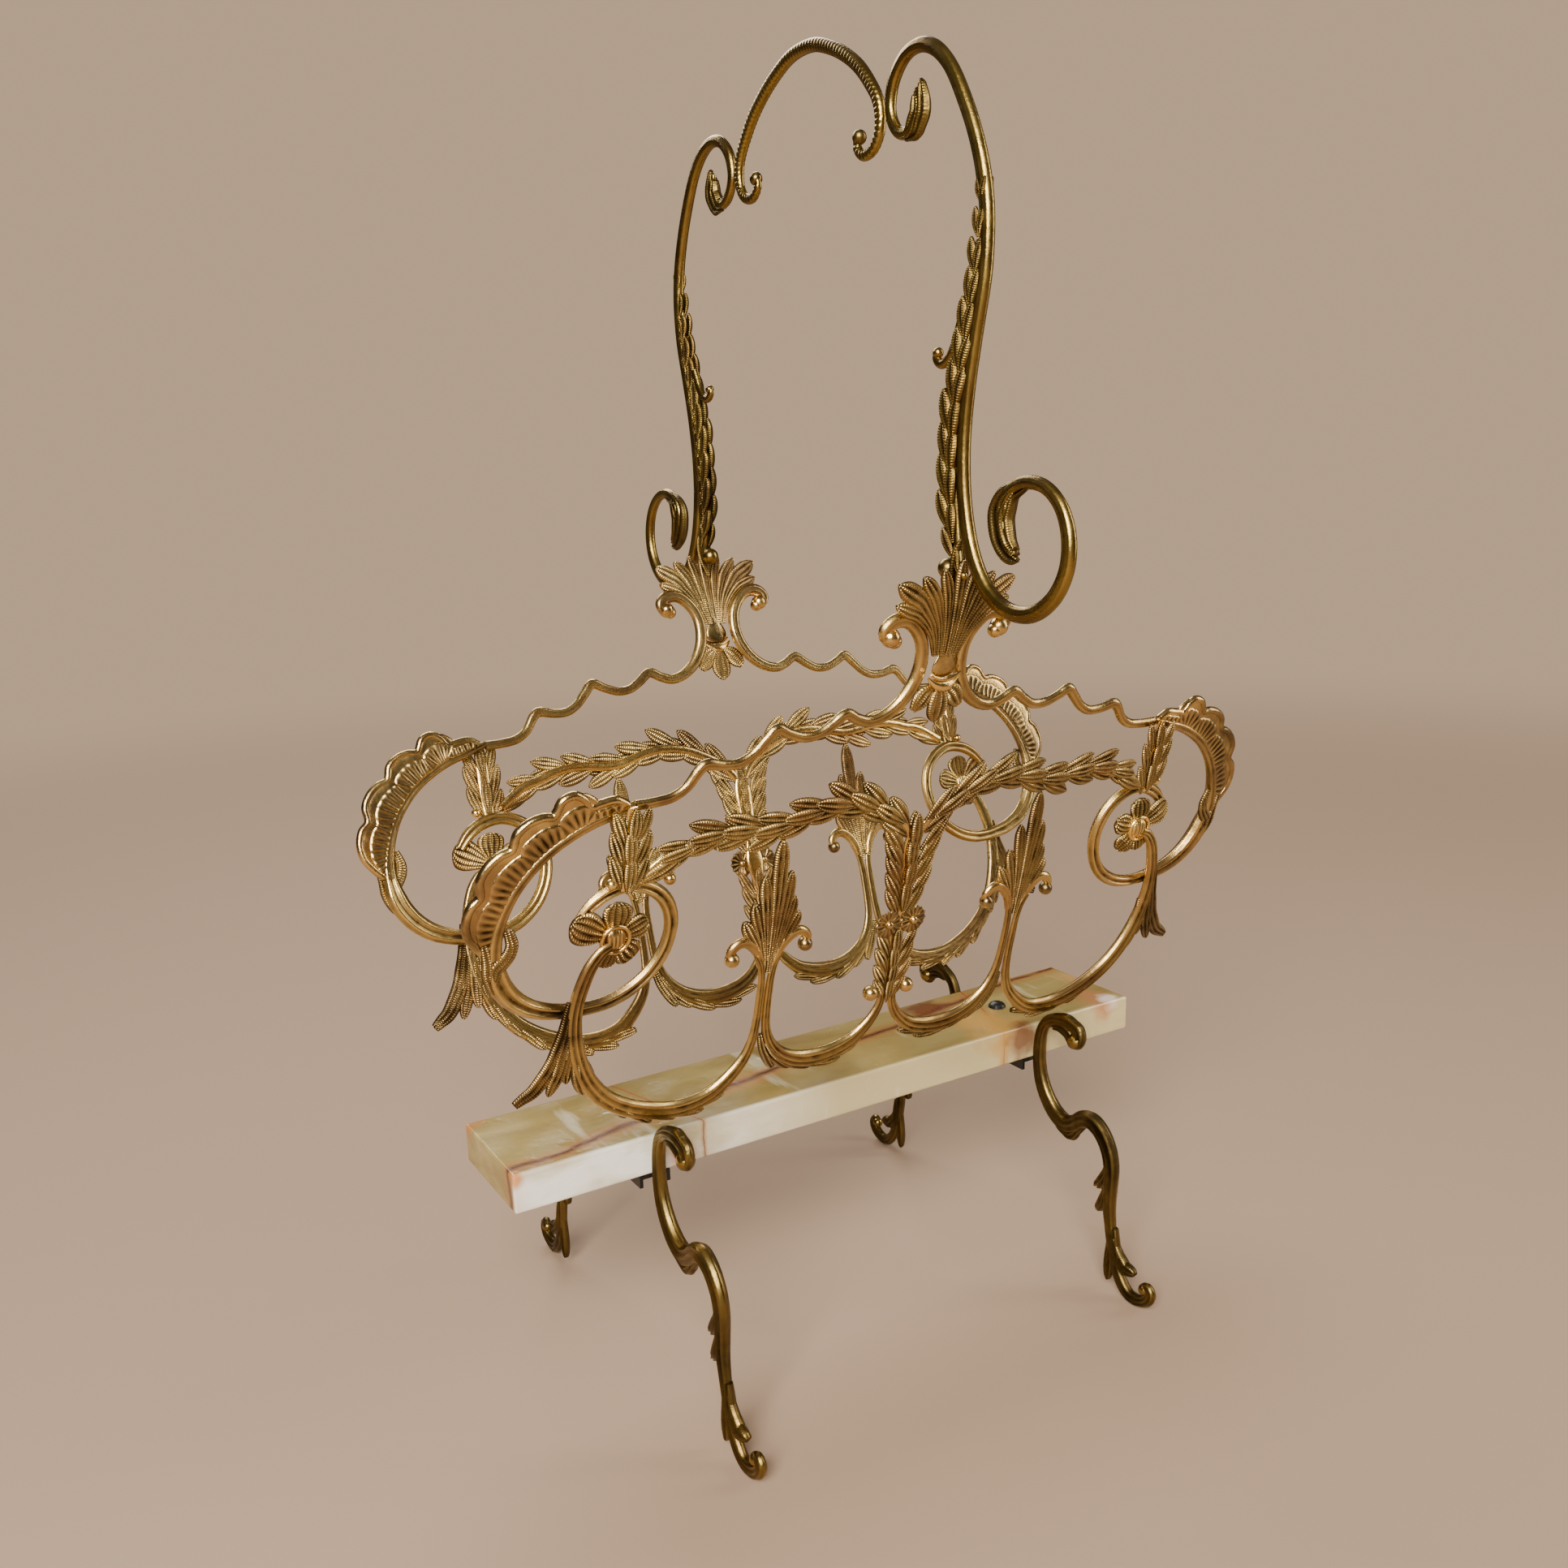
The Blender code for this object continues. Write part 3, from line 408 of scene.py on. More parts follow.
# %% Gilt and antique brass
def brass(name, colours, clouds, hollows, polish, hatch_depth, grain_depth):
    material, tree, shader = new_material(name)
    age = node(tree, "ShaderNodeGroup", node_tree=AGEING)
    for label, value in zip(("Bright", "Coppery", "Brown", "Grey Green"), colours):
        age.inputs[label].default_value = (*value, 1.0)
    age.inputs["Clouds"].default_value = clouds
    age.inputs["Hollows"].default_value = hollows
    age.inputs["Polish"].default_value = polish
    marks = node(tree, "ShaderNodeGroup", node_tree=TOOLING)
    tree.links.new(marks.outputs["Cuts"], age.inputs["Cuts"])
    grain = node(tree, "ShaderNodeGroup", node_tree=GRAIN)
    relief = node(tree, "ShaderNodeBump", {
        "Height": marks.outputs["Height"], "Strength": 1.0, "Distance": hatch_depth})
    relief = node(tree, "ShaderNodeBump", {
        "Height": grain.outputs["Height"], "Strength": 0.6, "Distance": grain_depth,
        "Normal": relief.outputs[0]})
    tree.links.new(age.outputs["Colour"], shader.inputs["Base Color"])
    tree.links.new(age.outputs["Roughness"], shader.inputs["Roughness"])
    tree.links.new(relief.outputs[0], shader.inputs["Normal"])
    shader.inputs["Metallic"].default_value = 1.0
    return material


# The four colours are bright, coppery, brown and grey green.
GILT = brass("gilt_brass_finish",
             ((0.98, 0.70, 0.24), (0.62, 0.33, 0.12), (0.024, 0.010, 0.003), (0.20, 0.14, 0.07)),
             clouds=0.75, hollows=1.5, polish=0.20, hatch_depth=0.00036, grain_depth=0.00028)
ANTIQUE = brass("antique_brass_finish",
                ((0.37, 0.25, 0.06), (0.22, 0.115, 0.03), (0.014, 0.007, 0.003), (0.11, 0.085, 0.035)),
                clouds=0.8, hollows=1.3, polish=0.25, hatch_depth=0.00025, grain_depth=0.00026)
print("brass finishes:", GILT.name, ANTIQUE.name)

# %% [markdown]
# ## The onyx and the steel
# Banded onyx is laid down in thin layers, so its colour runs in long bands, pale honey
# and green, crossed by a few brown veins. Light also goes a little way into it. Stretched
# noise gives the bands. Each vein is an upright sheet through the stone that wanders with
# noise, dark in its core and rusty beside it, and a ragged spot round a point gives each
# patch. The front face is painted paler, as painted light from the front, with a milky
# cloud towards its left end, and thin pale streaks over the stone are painted glints. Some
# subsurface gives the glow. The straps and bolts underneath are only blackened steel, so
# they get a dark finish with a few rusty places.


# %% Onyx and blackened steel
# The noise level at which each colour of the bands stands, lowest and highest first.
BANDS = ((0.30, (0.20, 0.125, 0.03, 1)), (0.72, (0.47, 0.36, 0.16, 1)), (0.43, (0.26, 0.18, 0.05, 1)),
         (0.52, (0.31, 0.225, 0.07, 1)), (0.60, (0.37, 0.28, 0.10, 1)))
# Where the sheet of a vein runs, how far it wanders, and how wide its halo and core are.
VEINS = ((0.155, 0.0033, 0.016, 0.0080, 0.0030), (-2.6, -0.245, 0.03, 0.005, 0.0008),
         (3.2, -0.318, 0.03, 0.012, 0.001))
# Centre, radius and colour of each patch.
PATCHES = (
    ((-0.175, -0.029, 0.121), 0.006, (0.55, 0.20, 0.03, 1)),
    ((-0.175, 0.028, 0.121), 0.008, (0.42, 0.15, 0.03, 1)),
    ((0.076, 0.020, 0.1226), 0.016, (0.12, 0.028, 0.012, 1)),
    ((0.090, -0.016, 0.1226), 0.022, (0.50, 0.27, 0.06, 1)),
    ((0.103, -0.029, 0.115), 0.012, (0.14, 0.04, 0.018, 1)),
    ((0.160, -0.020, 0.122), 0.015, (0.46, 0.19, 0.07, 1)),
    ((0.166, -0.024, 0.121), 0.007, (0.80, 0.70, 0.60, 1)),
    ((-0.096, -0.029, 0.110), 0.007, (0.45, 0.13, 0.08, 1)),
    ((0.172, 0.012, 0.118), 0.011, (0.48, 0.27, 0.09, 1)),
)
# Painted light: the paler colour laid over the front face.
PAINTED_FRONT_LIGHT = (0.70, 0.59, 0.34, 1)
MILKY = (0.86, 0.83, 0.75, 1)
# Painted highlight: the colour of the pale glint streaks.
PAINTED_GLINT = (0.80, 0.76, 0.60, 1)
RUSTY = (0.40, 0.15, 0.035, 1)
VEIN_CORE = (0.055, 0.014, 0.008, 1)


def near_sheet(tree, place, slope, offset, wander, width):
    """1 on an upright sheet through the stone that wanders with noise, falling to 0 beside it."""
    parts = node(tree, "ShaderNodeSeparateXYZ", {0: place}).outputs
    sway = calc(tree, "SUBTRACT", noise(tree, place, 22.0, 6.0), 0.5)
    off = calc(tree, "SUBTRACT", parts[1], calc(tree, "MULTIPLY_ADD", parts[0], slope, offset))
    off = calc(tree, "ADD", off, times(tree, sway, wander))
    off = calc(tree, "DIVIDE", calc(tree, "ABSOLUTE", off), width)
    return calc(tree, "SUBTRACT", 1.0, calc(tree, "MINIMUM", 1.0, off))


def near_spot(tree, place, centre, radius):
    """1 at a spot, falling to 0 at its ragged edge."""
    gap = node(tree, "ShaderNodeVectorMath", {0: place, 1: centre}, operation="DISTANCE").outputs["Value"]
    rag = calc(tree, "SUBTRACT", noise(tree, place, 90.0, 5.0), 0.5)
    gap = calc(tree, "ADD", gap, times(tree, rag, radius * 1.6))
    return between(tree, gap, radius, radius * 0.4)


def stretched(tree, place, scale, turn=(0.0, 0.0, 0.0)):
    return node(tree, "ShaderNodeMapping", {"Vector": place, "Rotation": turn, "Scale": scale}).outputs[0]


def build_onyx():
    material, tree, shader = new_material("onyx_finish")
    place = object_place(tree)
    layers = stretched(tree, place, (1.0, 3.6, 7.0), (0.35, 0.12, 0.2))
    bands = node(tree, "ShaderNodeTexNoise", {
        "Vector": layers, "Scale": 7.0, "Detail": 6.0, "Distortion": 0.6}).outputs[0]
    ramp = node(tree, "ShaderNodeValToRGB", {"Fac": bands})
    stops = ramp.color_ramp.elements
    for i, (position, shade) in enumerate(BANDS):
        stop = stops[i] if i < 2 else stops.new(position)
        stop.position = position
        stop.color = shade
    colour = ramp.outputs[0]
    parts = node(tree, "ShaderNodeSeparateXYZ", {0: place}).outputs
    front = between(tree, calc(tree, "SUBTRACT", 0.0, parts[1]), 0.0265, 0.0285)
    # Painted light: the front face is made paler, standing in for the light that falls on it from the front.
    colour = tinted(tree, front, 0.5, colour, PAINTED_FRONT_LIGHT)
    leftwards = between(tree, parts[0], -0.01, -0.11)
    wisps = cloud(tree, stretched(tree, place, (1.0, 2.0, 2.4)), 24.0, 6.0, 0.3, 0.56)
    milk = times(tree, times(tree, front, leftwards), wisps)
    colour = tinted(tree, milk, 0.9, colour, MILKY)
    # Painted highlight: thin pale streaks laid over the stone as glints.
    painted_glints = cloud(tree, stretched(tree, place, (2.6, 0.5, 0.5), (0.0, 0.3, 0.5)), 30.0, 5.0, 0.6, 0.68)
    colour = tinted(tree, painted_glints, 0.35, colour, PAINTED_GLINT)
    broken = cloud(tree, place, 34.0, 5.0, 0.30, 0.44)
    for slope, offset, wander, halo, core in VEINS:
        for width, share, tint in ((halo, 0.75, RUSTY), (core, 0.95, VEIN_CORE)):
            sheet = times(tree, near_sheet(tree, place, slope, offset, wander, width), broken)
            colour = tinted(tree, sheet, share, colour, tint)
    for spot, radius, shade in PATCHES:
        colour = tinted(tree, near_spot(tree, place, spot, radius), 0.82, colour, shade)
    tree.links.new(colour, shader.inputs["Base Color"])
    haze = cloud(tree, place, 60.0, 4.0, 0.35, 0.7)
    tree.links.new(calc(tree, "MULTIPLY_ADD", haze, 0.14, 0.14), shader.inputs["Roughness"])
    chips = cloud(tree, place, 70.0, 3.0, 0.62, 0.7)
    worn = calc(tree, "SUBTRACT", noise(tree, place, 260.0, 4.0), times(tree, chips, 0.8))
    bump = node(tree, "ShaderNodeBump", {"Height": worn, "Strength": 0.35, "Distance": 0.0003})
    tree.links.new(bump.outputs[0], shader.inputs["Normal"])
    for label, value in (("Subsurface Weight", 0.15), ("Subsurface Radius", (1.0, 0.8, 0.45)),
                         ("Subsurface Scale", 0.005), ("Coat Weight", 0.3), ("Coat Roughness", 0.1)):
        shader.inputs[label].default_value = value
    return material


def build_steel():
    material, tree, shader = new_material("dark_steel_finish")
    rust = cloud(tree, object_place(tree), 90.0, 5.0, 0.5, 0.7)
    colour = blend(tree, rust, (0.045, 0.043, 0.04, 1), (0.12, 0.06, 0.03, 1))
    tree.links.new(colour, shader.inputs["Base Color"])
    tree.links.new(calc(tree, "MULTIPLY_ADD", rust, 0.3, 0.38), shader.inputs["Roughness"])
    grain = node(tree, "ShaderNodeGroup", node_tree=GRAIN)
    bump = node(tree, "ShaderNodeBump", {"Height": grain.outputs[0], "Strength": 0.5, "Distance": 0.0001})
    tree.links.new(bump.outputs[0], shader.inputs["Normal"])
    shader.inputs["Metallic"].default_value = 0.85
    return material


ONYX = build_onyx()
STEEL = build_steel()
print("other finishes:", ONYX.name, STEEL.name)

# %% [markdown]
# ## Drawing strokes
# A casting is drawn in the flat, as it would be on a pattern maker's board: x along the
# piece, y up it, and depth towards the viewer, all in millimetres. A bar is given by its
# stations. A leaf is given by a spine and one half width, and a table of shapes says how
# its width swells and falls from root to tip.

# %% Bars and leaves on the drawing board
LEAF_STEPS = (0.0, 0.12, 0.26, 0.4, 0.54, 0.68, 0.8, 0.9, 0.97, 1.0)
LEAF_SHAPES = {
    "lens": (0.22, 0.46, 0.74, 0.92, 1.0, 0.96, 0.82, 0.58, 0.3, 0.12),
    "lobe": (0.34, 0.38, 0.46, 0.58, 0.74, 0.92, 1.0, 0.88, 0.5, 0.15),
    "strand": (0.6, 0.72, 0.84, 0.93, 1.0, 1.0, 0.92, 0.74, 0.46, 0.16),
    "petal": (0.4, 0.56, 0.74, 0.88, 0.98, 1.0, 0.92, 0.7, 0.42, 0.18),
}


def new_casting():
    return {"points": [], "edges": [], "values": {name: [] for name in STROKE_VALUES}}


def add_point(casting, x, y, depth, values, scale):
    casting["points"].append((x * scale, y * scale, depth * scale))
    for name in STROKE_VALUES:
        casting["values"][name].append(values.get(name, 0.0))


def stroke(casting, stations, depth=0.0, rise=0.8, ridges=0, groove=0.0, flat=2.0, rib_pitch=1.0,
           rib_depth=0.0, hatch=0.0, tone=0.0, thickness=None, scale=MM):
    """Add a bar through (x, y, half width) or (x, y, half width, depth) stations."""
    first = len(casting["points"])
    for i, station in enumerate(stations):
        half = station[2]
        thick = rise * half if thickness is None else thickness[i]
        own = station[3] if len(station) > 3 else 0.0
        values = {"half_width": half * scale, "front": thick * scale, "back": thick * scale * 0.9,
                  "ridges": ridges, "groove": groove, "flat": flat, "rib_pitch": rib_pitch * scale,
                  "rib_depth": rib_depth * scale, "hatch": hatch, "tone": tone}
        add_point(casting, station[0], station[1], depth + own, values, scale)
        if i:
            casting["edges"].append((first + i - 1, first + i))


def along_spine(spine, t):
    """Point at the fraction t of a chain of points."""
    steps = [hypot(b[0] - a[0], b[1] - a[1]) for a, b in zip(spine, spine[1:])]
    left = t * sum(steps)
    for a, b, step in zip(spine, spine[1:], steps):
        if left <= step:
            break
        left -= step
    part = min(left / step, 1.0)
    return [p + (q - p) * part for p, q in zip(a, b)]


def leaf(casting, spine, half_width, shape="lens", depth=0.0, tip=0.0, arch=0.6, thick=1.5, ridges=3,
         groove=0.5, hatch=1.0, flat=3.0, tone=0.0, scale=MM):
    """Add a leaf along a spine, starting at one depth and ending at another."""
    stations = []
    thickness = []
    for t, swell in zip(LEAF_STEPS, LEAF_SHAPES[shape]):
        x, y = along_spine(spine, t)
        stations.append((x, y, half_width * swell, (tip - depth) * t + arch * sin(pi * t)))
        thickness.append(thick * min(1.0, 0.35 + swell * 0.65))
    stroke(casting, stations, depth, ridges=ridges, groove=groove, flat=flat, hatch=hatch, tone=tone,
           thickness=thickness, scale=scale)


def ball(casting, centre, radius, tone=0.0):
    values = {"ball": radius * MM, "tone": tone}
    add_point(casting, centre[0], centre[1], centre[2], values, MM)


def drawn(casting):
    """Turn a casting's strokes into a mesh of points, edges and named values."""
    mesh = bpy.data.meshes.new("strokes")
    mesh.from_pydata(casting["points"], casting["edges"], [])
    for name, values in casting["values"].items():
        mesh.attributes.new(name, "FLOAT", "POINT").data.foreach_set("value", values)
    obj = bpy.data.objects.new("strokes", mesh)
    bpy.context.scene.collection.objects.link(obj)
    return obj


def discard(*objects):
    for obj in objects:
        bpy.data.objects.remove(obj, do_unlink=True)


def cast(casting, material, step=1.0, sides=20):
    """Run the stroke tree on a casting and return the mesh."""
    board = drawn(casting)
    mesh = run_tree(board, STROKE_TREE, {"Step": step * MM, "Sides": sides, "Material": material})
    discard(board)
    return mesh


sampler = new_casting()
leaf(sampler, [(0, 0), (20, 0)], 3.4)
sample = cast(sampler, GILT)
print("one leaf has", len(sample.polygons), "faces")

# %% [markdown]
# ## The leaf that the swags repeat
# A swag leaf is a long pod: a raised rim all round, a groove inside it, and a hatched rib
# down the middle. It is cast once, one unit in half width, and the leaf row tree scales
# it to the swag at each place.

# %% The swag leaf and rows of it
LEAF_LENGTH = 5.6


def swag_leaf(material, tone, ridges=3, thick=0.42):
    casting = new_casting()
    leaf(casting, [(0, 0), (LEAF_LENGTH, 0)], 1.0, "lens", arch=0.28, tip=0.05, thick=thick, ridges=ridges,
         tone=tone, scale=1.0, groove=0.66)
    board = drawn(casting)
    mesh = run_tree(board, STROKE_TREE, {"Step": 0.26, "Sides": 20, "Material": material})
    discard(board)
    return bpy.data.objects.new("swag_leaf", mesh)


def leaf_row(leaf_object, stations, material, **sizes):
    """Set leaves along (x, y, half width) stations in millimetres."""
    casting = new_casting()
    stroke(casting, stations, depth=sizes.pop("depth", 0.0))
    board = drawn(casting)
    named = {"Leaf": leaf_object, "Material": material}
    for key, value in sizes.items():
        named[key.replace("_", " ").title()] = value
    mesh = run_tree(board, LEAF_ROW_TREE, named)
    discard(board)
    return mesh


GILT_LEAF = swag_leaf(GILT, 0.15)
ANTIQUE_LEAF = swag_leaf(ANTIQUE, 0.1, 2, 0.62)
print("swag leaf faces:", len(GILT_LEAF.data.polygons))

# %% [markdown]
# ## Gathering a casting
# Each finished casting may hold strokes and several rows of leaves. They are gathered by
# a small tree that reads a collection, so the result is one plain mesh. A caster leaves
# no inside faces showing, and neither should a mesh: its normals are worked out afresh
# once, before copies of it are mirrored for the other hand.

# %% Gather, mirror and place castings
def build_gather_tree():
    tree, size, leave = new_geometry_tree("gather casting", [
        ("Parts", "Collection", None), ("Material", "Material", None)])
    parts = node(tree, "GeometryNodeCollectionInfo", {"Collection": size["Parts"]}).outputs[0]
    whole = node(tree, "GeometryNodeRealizeInstances", {"Geometry": parts}).outputs[0]
    tree.links.new(with_material(tree, whole, size["Material"]), leave.inputs[0])
    return tree


GATHER_TREE = build_gather_tree()


def face_outwards(mesh):
    body = bmesh.new()
    body.from_mesh(mesh)
    bmesh.ops.recalc_face_normals(body, faces=body.faces)
    body.to_mesh(mesh)
    body.free()


def gather(name, meshes, material):
    collection = bpy.data.collections.new(name)
    parts = [bpy.data.objects.new(f"{name}_part", mesh) for mesh in meshes]
    for part in parts:
        collection.objects.link(part)
    host = bpy.data.objects.new(name, bpy.data.meshes.new(name))
    bpy.context.scene.collection.objects.link(host)
    mesh = run_tree(host, GATHER_TREE, {"Parts": collection, "Material": material})
    discard(host, *parts)
    bpy.data.collections.remove(collection)
    for helper in ("centre", "heading", "section", "half_width", "front", "back", "ridges", "groove",
                   "flat", "rib_pitch", "rib_depth", "hatch", "ball"):
        if helper in mesh.attributes:
            mesh.attributes.remove(mesh.attributes[helper])
    face_outwards(mesh)
    mesh.name = name
    return mesh


def mirrored_copy(mesh):
    copy = mesh.copy()
    copy.transform(Matrix.Diagonal((-1.0, 1.0, 1.0, 1.0)))
    copy.flip_normals()
    return copy


def place(mesh, name, placing, replaced, slot_name):
    """Show a copy of a mesh at a place, standing for its CAD nodes."""
    copy = mesh.copy()
    copy.name = name
    if placing is not None:
        copy.transform(placing)
    piece = bpy.data.objects.new(name, copy)
    bpy.context.scene.collection.objects.link(piece)
    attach(piece, "root")
    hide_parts(*replaced)


def print_faces(meshes):
    for name, mesh in meshes.items():
        print(name, "faces:", len(mesh.polygons))


print("gather tree:", len(GATHER_TREE.nodes), "nodes")

# %% [markdown]
# ## Sizes taken over from the CAD model
# The panels lean outwards by fifteen degrees and are drawn on their own tilted plane: x
# along the rack, y up the panel and depth out of it. The same drawing serves the front
# and, turned half a circle, the back.

# %% Sizes and planes
PANEL_LEAN = radians(15.2)
SLAB = (351.0, 58.4, 18.0)
SLAB_TOP = 122.6
DATUM_Y = 46.8
DATUM_Z = 160.4
LEG_X = 110.0
BACK_LAYER = -1.7
FRONT_LAYER = 2.2
PANELS = ((-1, "front"), (1, "back"))


def panel_plane(side):
    turn = Matrix.Rotation(0.0 if side < 0 else pi, 4, "Z")
    seat = Matrix.Translation((0.0, -DATUM_Y * MM, DATUM_Z * MM))
    return turn @ seat @ Matrix.Rotation(pi / 2 + PANEL_LEAN, 4, "X")


def upright_plane(x, side):
    turn = Matrix.Rotation(0.0 if side < 0 else pi, 4, "Z")
    seat = Matrix.Translation((x * MM if side < 0 else -x * MM, 0.0, 0.0))
    return turn @ seat @ Matrix(((0, 0, -1, 0), (-1, 0, 0, 0), (0, 1, 0, 0), (0, 0, 0, 1)))


print("panel lean:", round(PANEL_LEAN * 180 / pi, 1), "degrees")

# %% [markdown]
# ## The long rods of a panel
# The wavy top rail, the big end scroll, the ring inside it and the two bottom scrolls are
# bars with one or two grooves along them. They come straight from their stations. The
# end scroll also carries a scalloped comb: a band as wide as the scallops, with ribs
# across it and a raised lip round its edge.

# %% Rail, end scroll, ring and comb
RAIL = [
    (133.5, 127, 2.2), (126, 127, 2.2), (118, 128, 2.2), (112, 131.5, 2.2), (107.5, 137.5, 2.4),
    (104, 139.5, 2.5), (97, 138, 2.2), (90, 138, 2.2), (84, 141, 2.2), (79, 146, 2.4),
    (74.5, 150, 2.5), (69, 147.5, 2.2), (62, 145, 2.2), (55, 145.3, 2.2), (49, 148.5, 2.4),
    (43, 152.3, 2.5), (37, 149.5, 2.4), (31, 147.8, 2.5), (24, 149.5, 2.7), (17, 154.5, 3.0),
    (12, 162, 3.1), (10, 170, 3.1), (10.8, 178, 3.0), (14.5, 184.5, 3.0), (20, 188.8, 3.1),
    (26, 189, 3.2), (30, 185.8, 3.0), (29.6, 182, 2.2),
]
END_SCROLL = [
    (134, 127.5, 1.6), (139.5, 126, 2.0), (143.5, 124.5, 2.2), (150, 122.8, 2.3), (157, 120, 2.4),
    (165, 115.5, 2.4), (172, 110, 2.4), (178.5, 102.5, 2.4), (183, 95, 2.5), (186.3, 86.5, 2.7),
    (187.8, 79, 3.0), (188, 73, 3.4),
]
END_RING = [
    (188.2, 76, 2.6), (187.6, 69.2, 3.8), (186.8, 64.5, 4.5), (184.5, 58.5, 4.6), (180, 52, 4.4),
    (173.5, 46.5, 4.1), (166, 43, 3.8), (158, 41, 3.5), (149, 40, 3.2), (140, 40.6, 3.2),
    (130.5, 44, 3.2), (121.5, 51, 3.2), (115.5, 61, 3.2), (113.7, 72, 3.2), (116.5, 82, 3.2),
    (123, 89, 3.1), (132, 92.5, 3.0), (141, 91.5, 3.0), (148.5, 87.5, 2.9), (154, 81.5, 2.2),
]
COMB_EDGE = [
    (136, 128.5), (142, 131.5), (148, 131), (152, 130.5), (155, 134), (159, 136), (163.5, 134.3),
    (166.5, 129), (171, 129), (176, 127.6), (180.5, 124), (182.6, 118), (187, 116.2), (191.5, 112.6),
    (194.6, 107), (194.4, 100.5), (198, 96.5), (199.8, 90.5), (199, 84), (195.5, 78.5), (191.8, 74.5),
]


def comb_band(casting):
    """Fill between the scroll and its scalloped edge: a plain band, ribs near the scroll, a lip."""
    inner = [along_spine([(x, y) for x, y, _ in END_SCROLL[1:]], i / 80) for i in range(81)]
    near = [min((hypot(x - a, y - b), a, b) for a, b in inner) for x, y in COMB_EDGE]
    for share, thick, pitch, depth in ((0.96, 1.3, 1.0, 0.0), (0.68, 2.1, 2.9, 0.5)):
        stations = [(a + (x - a) * share / 2, b + (y - b) * share / 2, max(width * share / 2, 0.5))
                    for (x, y), (width, a, b) in zip(COMB_EDGE, near)]
        stroke(casting, stations, BACK_LAYER + 0.2, flat=7.0, rib_pitch=pitch, rib_depth=depth, tone=0.8,
               thickness=[thick] * len(stations))
    lip = [(x + (a - x) / width, y + (b - y) / width, 1.7)
           for (x, y), (width, a, b) in zip(COMB_EDGE, near)]
    stroke(casting, lip, BACK_LAYER + 0.3, rise=1.15, tone=0.9)


def build_rail():
    casting = new_casting()
    stroke(casting, RAIL, BACK_LAYER + 0.4, rise=0.9, ridges=2, groove=0.3, tone=0.55)
    ball(casting, (27.2, 182.6, BACK_LAYER + 0.8), 3.9, 0.5)
    ball(casting, (25.4, 181.2, BACK_LAYER + 1.0), 3.1, 0.5)
    return gather("rail", [cast(casting, GILT, 0.9)], GILT)


def build_end_scroll():
    casting = new_casting()
    stroke(casting, END_SCROLL, BACK_LAYER + 0.6, rise=1.0, ridges=2, groove=0.35, tone=0.7)
    comb_band(casting)
    leaf(casting, [(183.5, 85), (181.6, 79), (183, 73.5), (187.5, 68.5), (189, 60)], 3.2, "strand",
         BACK_LAYER + 2.4, BACK_LAYER + 1.0, 0.8, 1.5, ridges=3, tone=0.5)
    leaf(casting, [(192.5, 80), (191, 73), (190.5, 66), (187.5, 57)], 2.6, "strand", BACK_LAYER + 1.6,
         BACK_LAYER + 1.0, 0.6, 1.5, ridges=2, tone=0.5)
    return gather("end_scroll", [cast(casting, GILT, 0.6)], GILT)


def build_end_ring():
    casting = new_casting()
    stroke(casting, END_RING, BACK_LAYER, rise=0.8, ridges=2, groove=0.6, flat=2.8, tone=0.15)
    return gather("end_ring", [cast(casting, GILT, 1.0, 24)], GILT)


RODS = {"rail": build_rail(), "end_scroll": build_end_scroll(), "end_ring": build_end_ring()}
print_faces(RODS)

# %% [markdown]
# ## The bottom scrolls and their leaves
# An S shaped bar falls from the flower, swings under the panel and climbs again as one
# half of a stem. Long thin leaves peel away from its outer edge, and the biggest one
# curls out to the side. A smaller scroll does the same beside the middle line. The bars
# are strokes with three ridges, and every leaf is drawn by its own spine, since no two
# have the same bend.

# %% S scroll and bottom scroll
LEAF_FULLNESS = 1.22
S_SCROLL = [
    (141.5, 69.5, 2.2), (145.5, 67.5, 2.7), (150, 61.5, 3.1), (153.2, 53, 3.3), (155.2, 44, 3.3),
    (155.6, 35, 3.5), (154.5, 25, 3.7), (151.5, 14, 4.0), (147, 4.5, 4.2), (140, -4.5, 4.3),
    (131, -11.5, 4.4), (121, -16.5, 4.4), (110, -19.8, 4.4), (99, -20.2, 4.3), (89, -17.5, 3.9),
    (80.5, -11, 3.4), (74.2, -3.3, 2.9), (70.9, 5.5, 2.4), (69.8, 16, 2.1), (69.6, 28, 2.0),
    (69.8, 37, 1.8), (71, 44, 1.7), (73.5, 49, 1.5),
]
S_LEAVES = [
    ([(157, 47), (159.5, 33), (163.5, 20), (170, 9), (180.3, 2.2)], 3.2, 0.8),
    ([(156.5, 42), (158.5, 28), (161, 15), (165.2, 4)], 2.9, 0.7),
    ([(154.5, 38), (156, 24), (157, 15), (157.4, 7.5)], 2.6, 0.4),
    ([(153, 30), (153.5, 18), (152, 8), (149.6, 0.5)], 2.7, 0.3),
    ([(152, 20), (150, 10), (147.5, 3), (144.5, -4)], 2.4, 0.3),
    ([(149, 10), (145.5, 2), (142, -4), (138, -10)], 2.4, 0.3),
    ([(144, 0), (139, -6.5), (134, -12), (128.6, -18.5)], 2.3, 0.3),
    ([(135, -9.5), (129, -14.5), (123.5, -18.5), (117, -24)], 2.2, 0.3),
    ([(125, -16), (118, -19.5), (111.5, -22.5), (105, -26)], 2.1, 0.3),
    ([(113, -20), (106, -22.5), (99, -23.8), (91.5, -25.2)], 2.0, 0.3),
    ([(101, -21.5), (94, -21.6), (88, -20.6), (81, -19.6)], 1.9, 0.3),
]
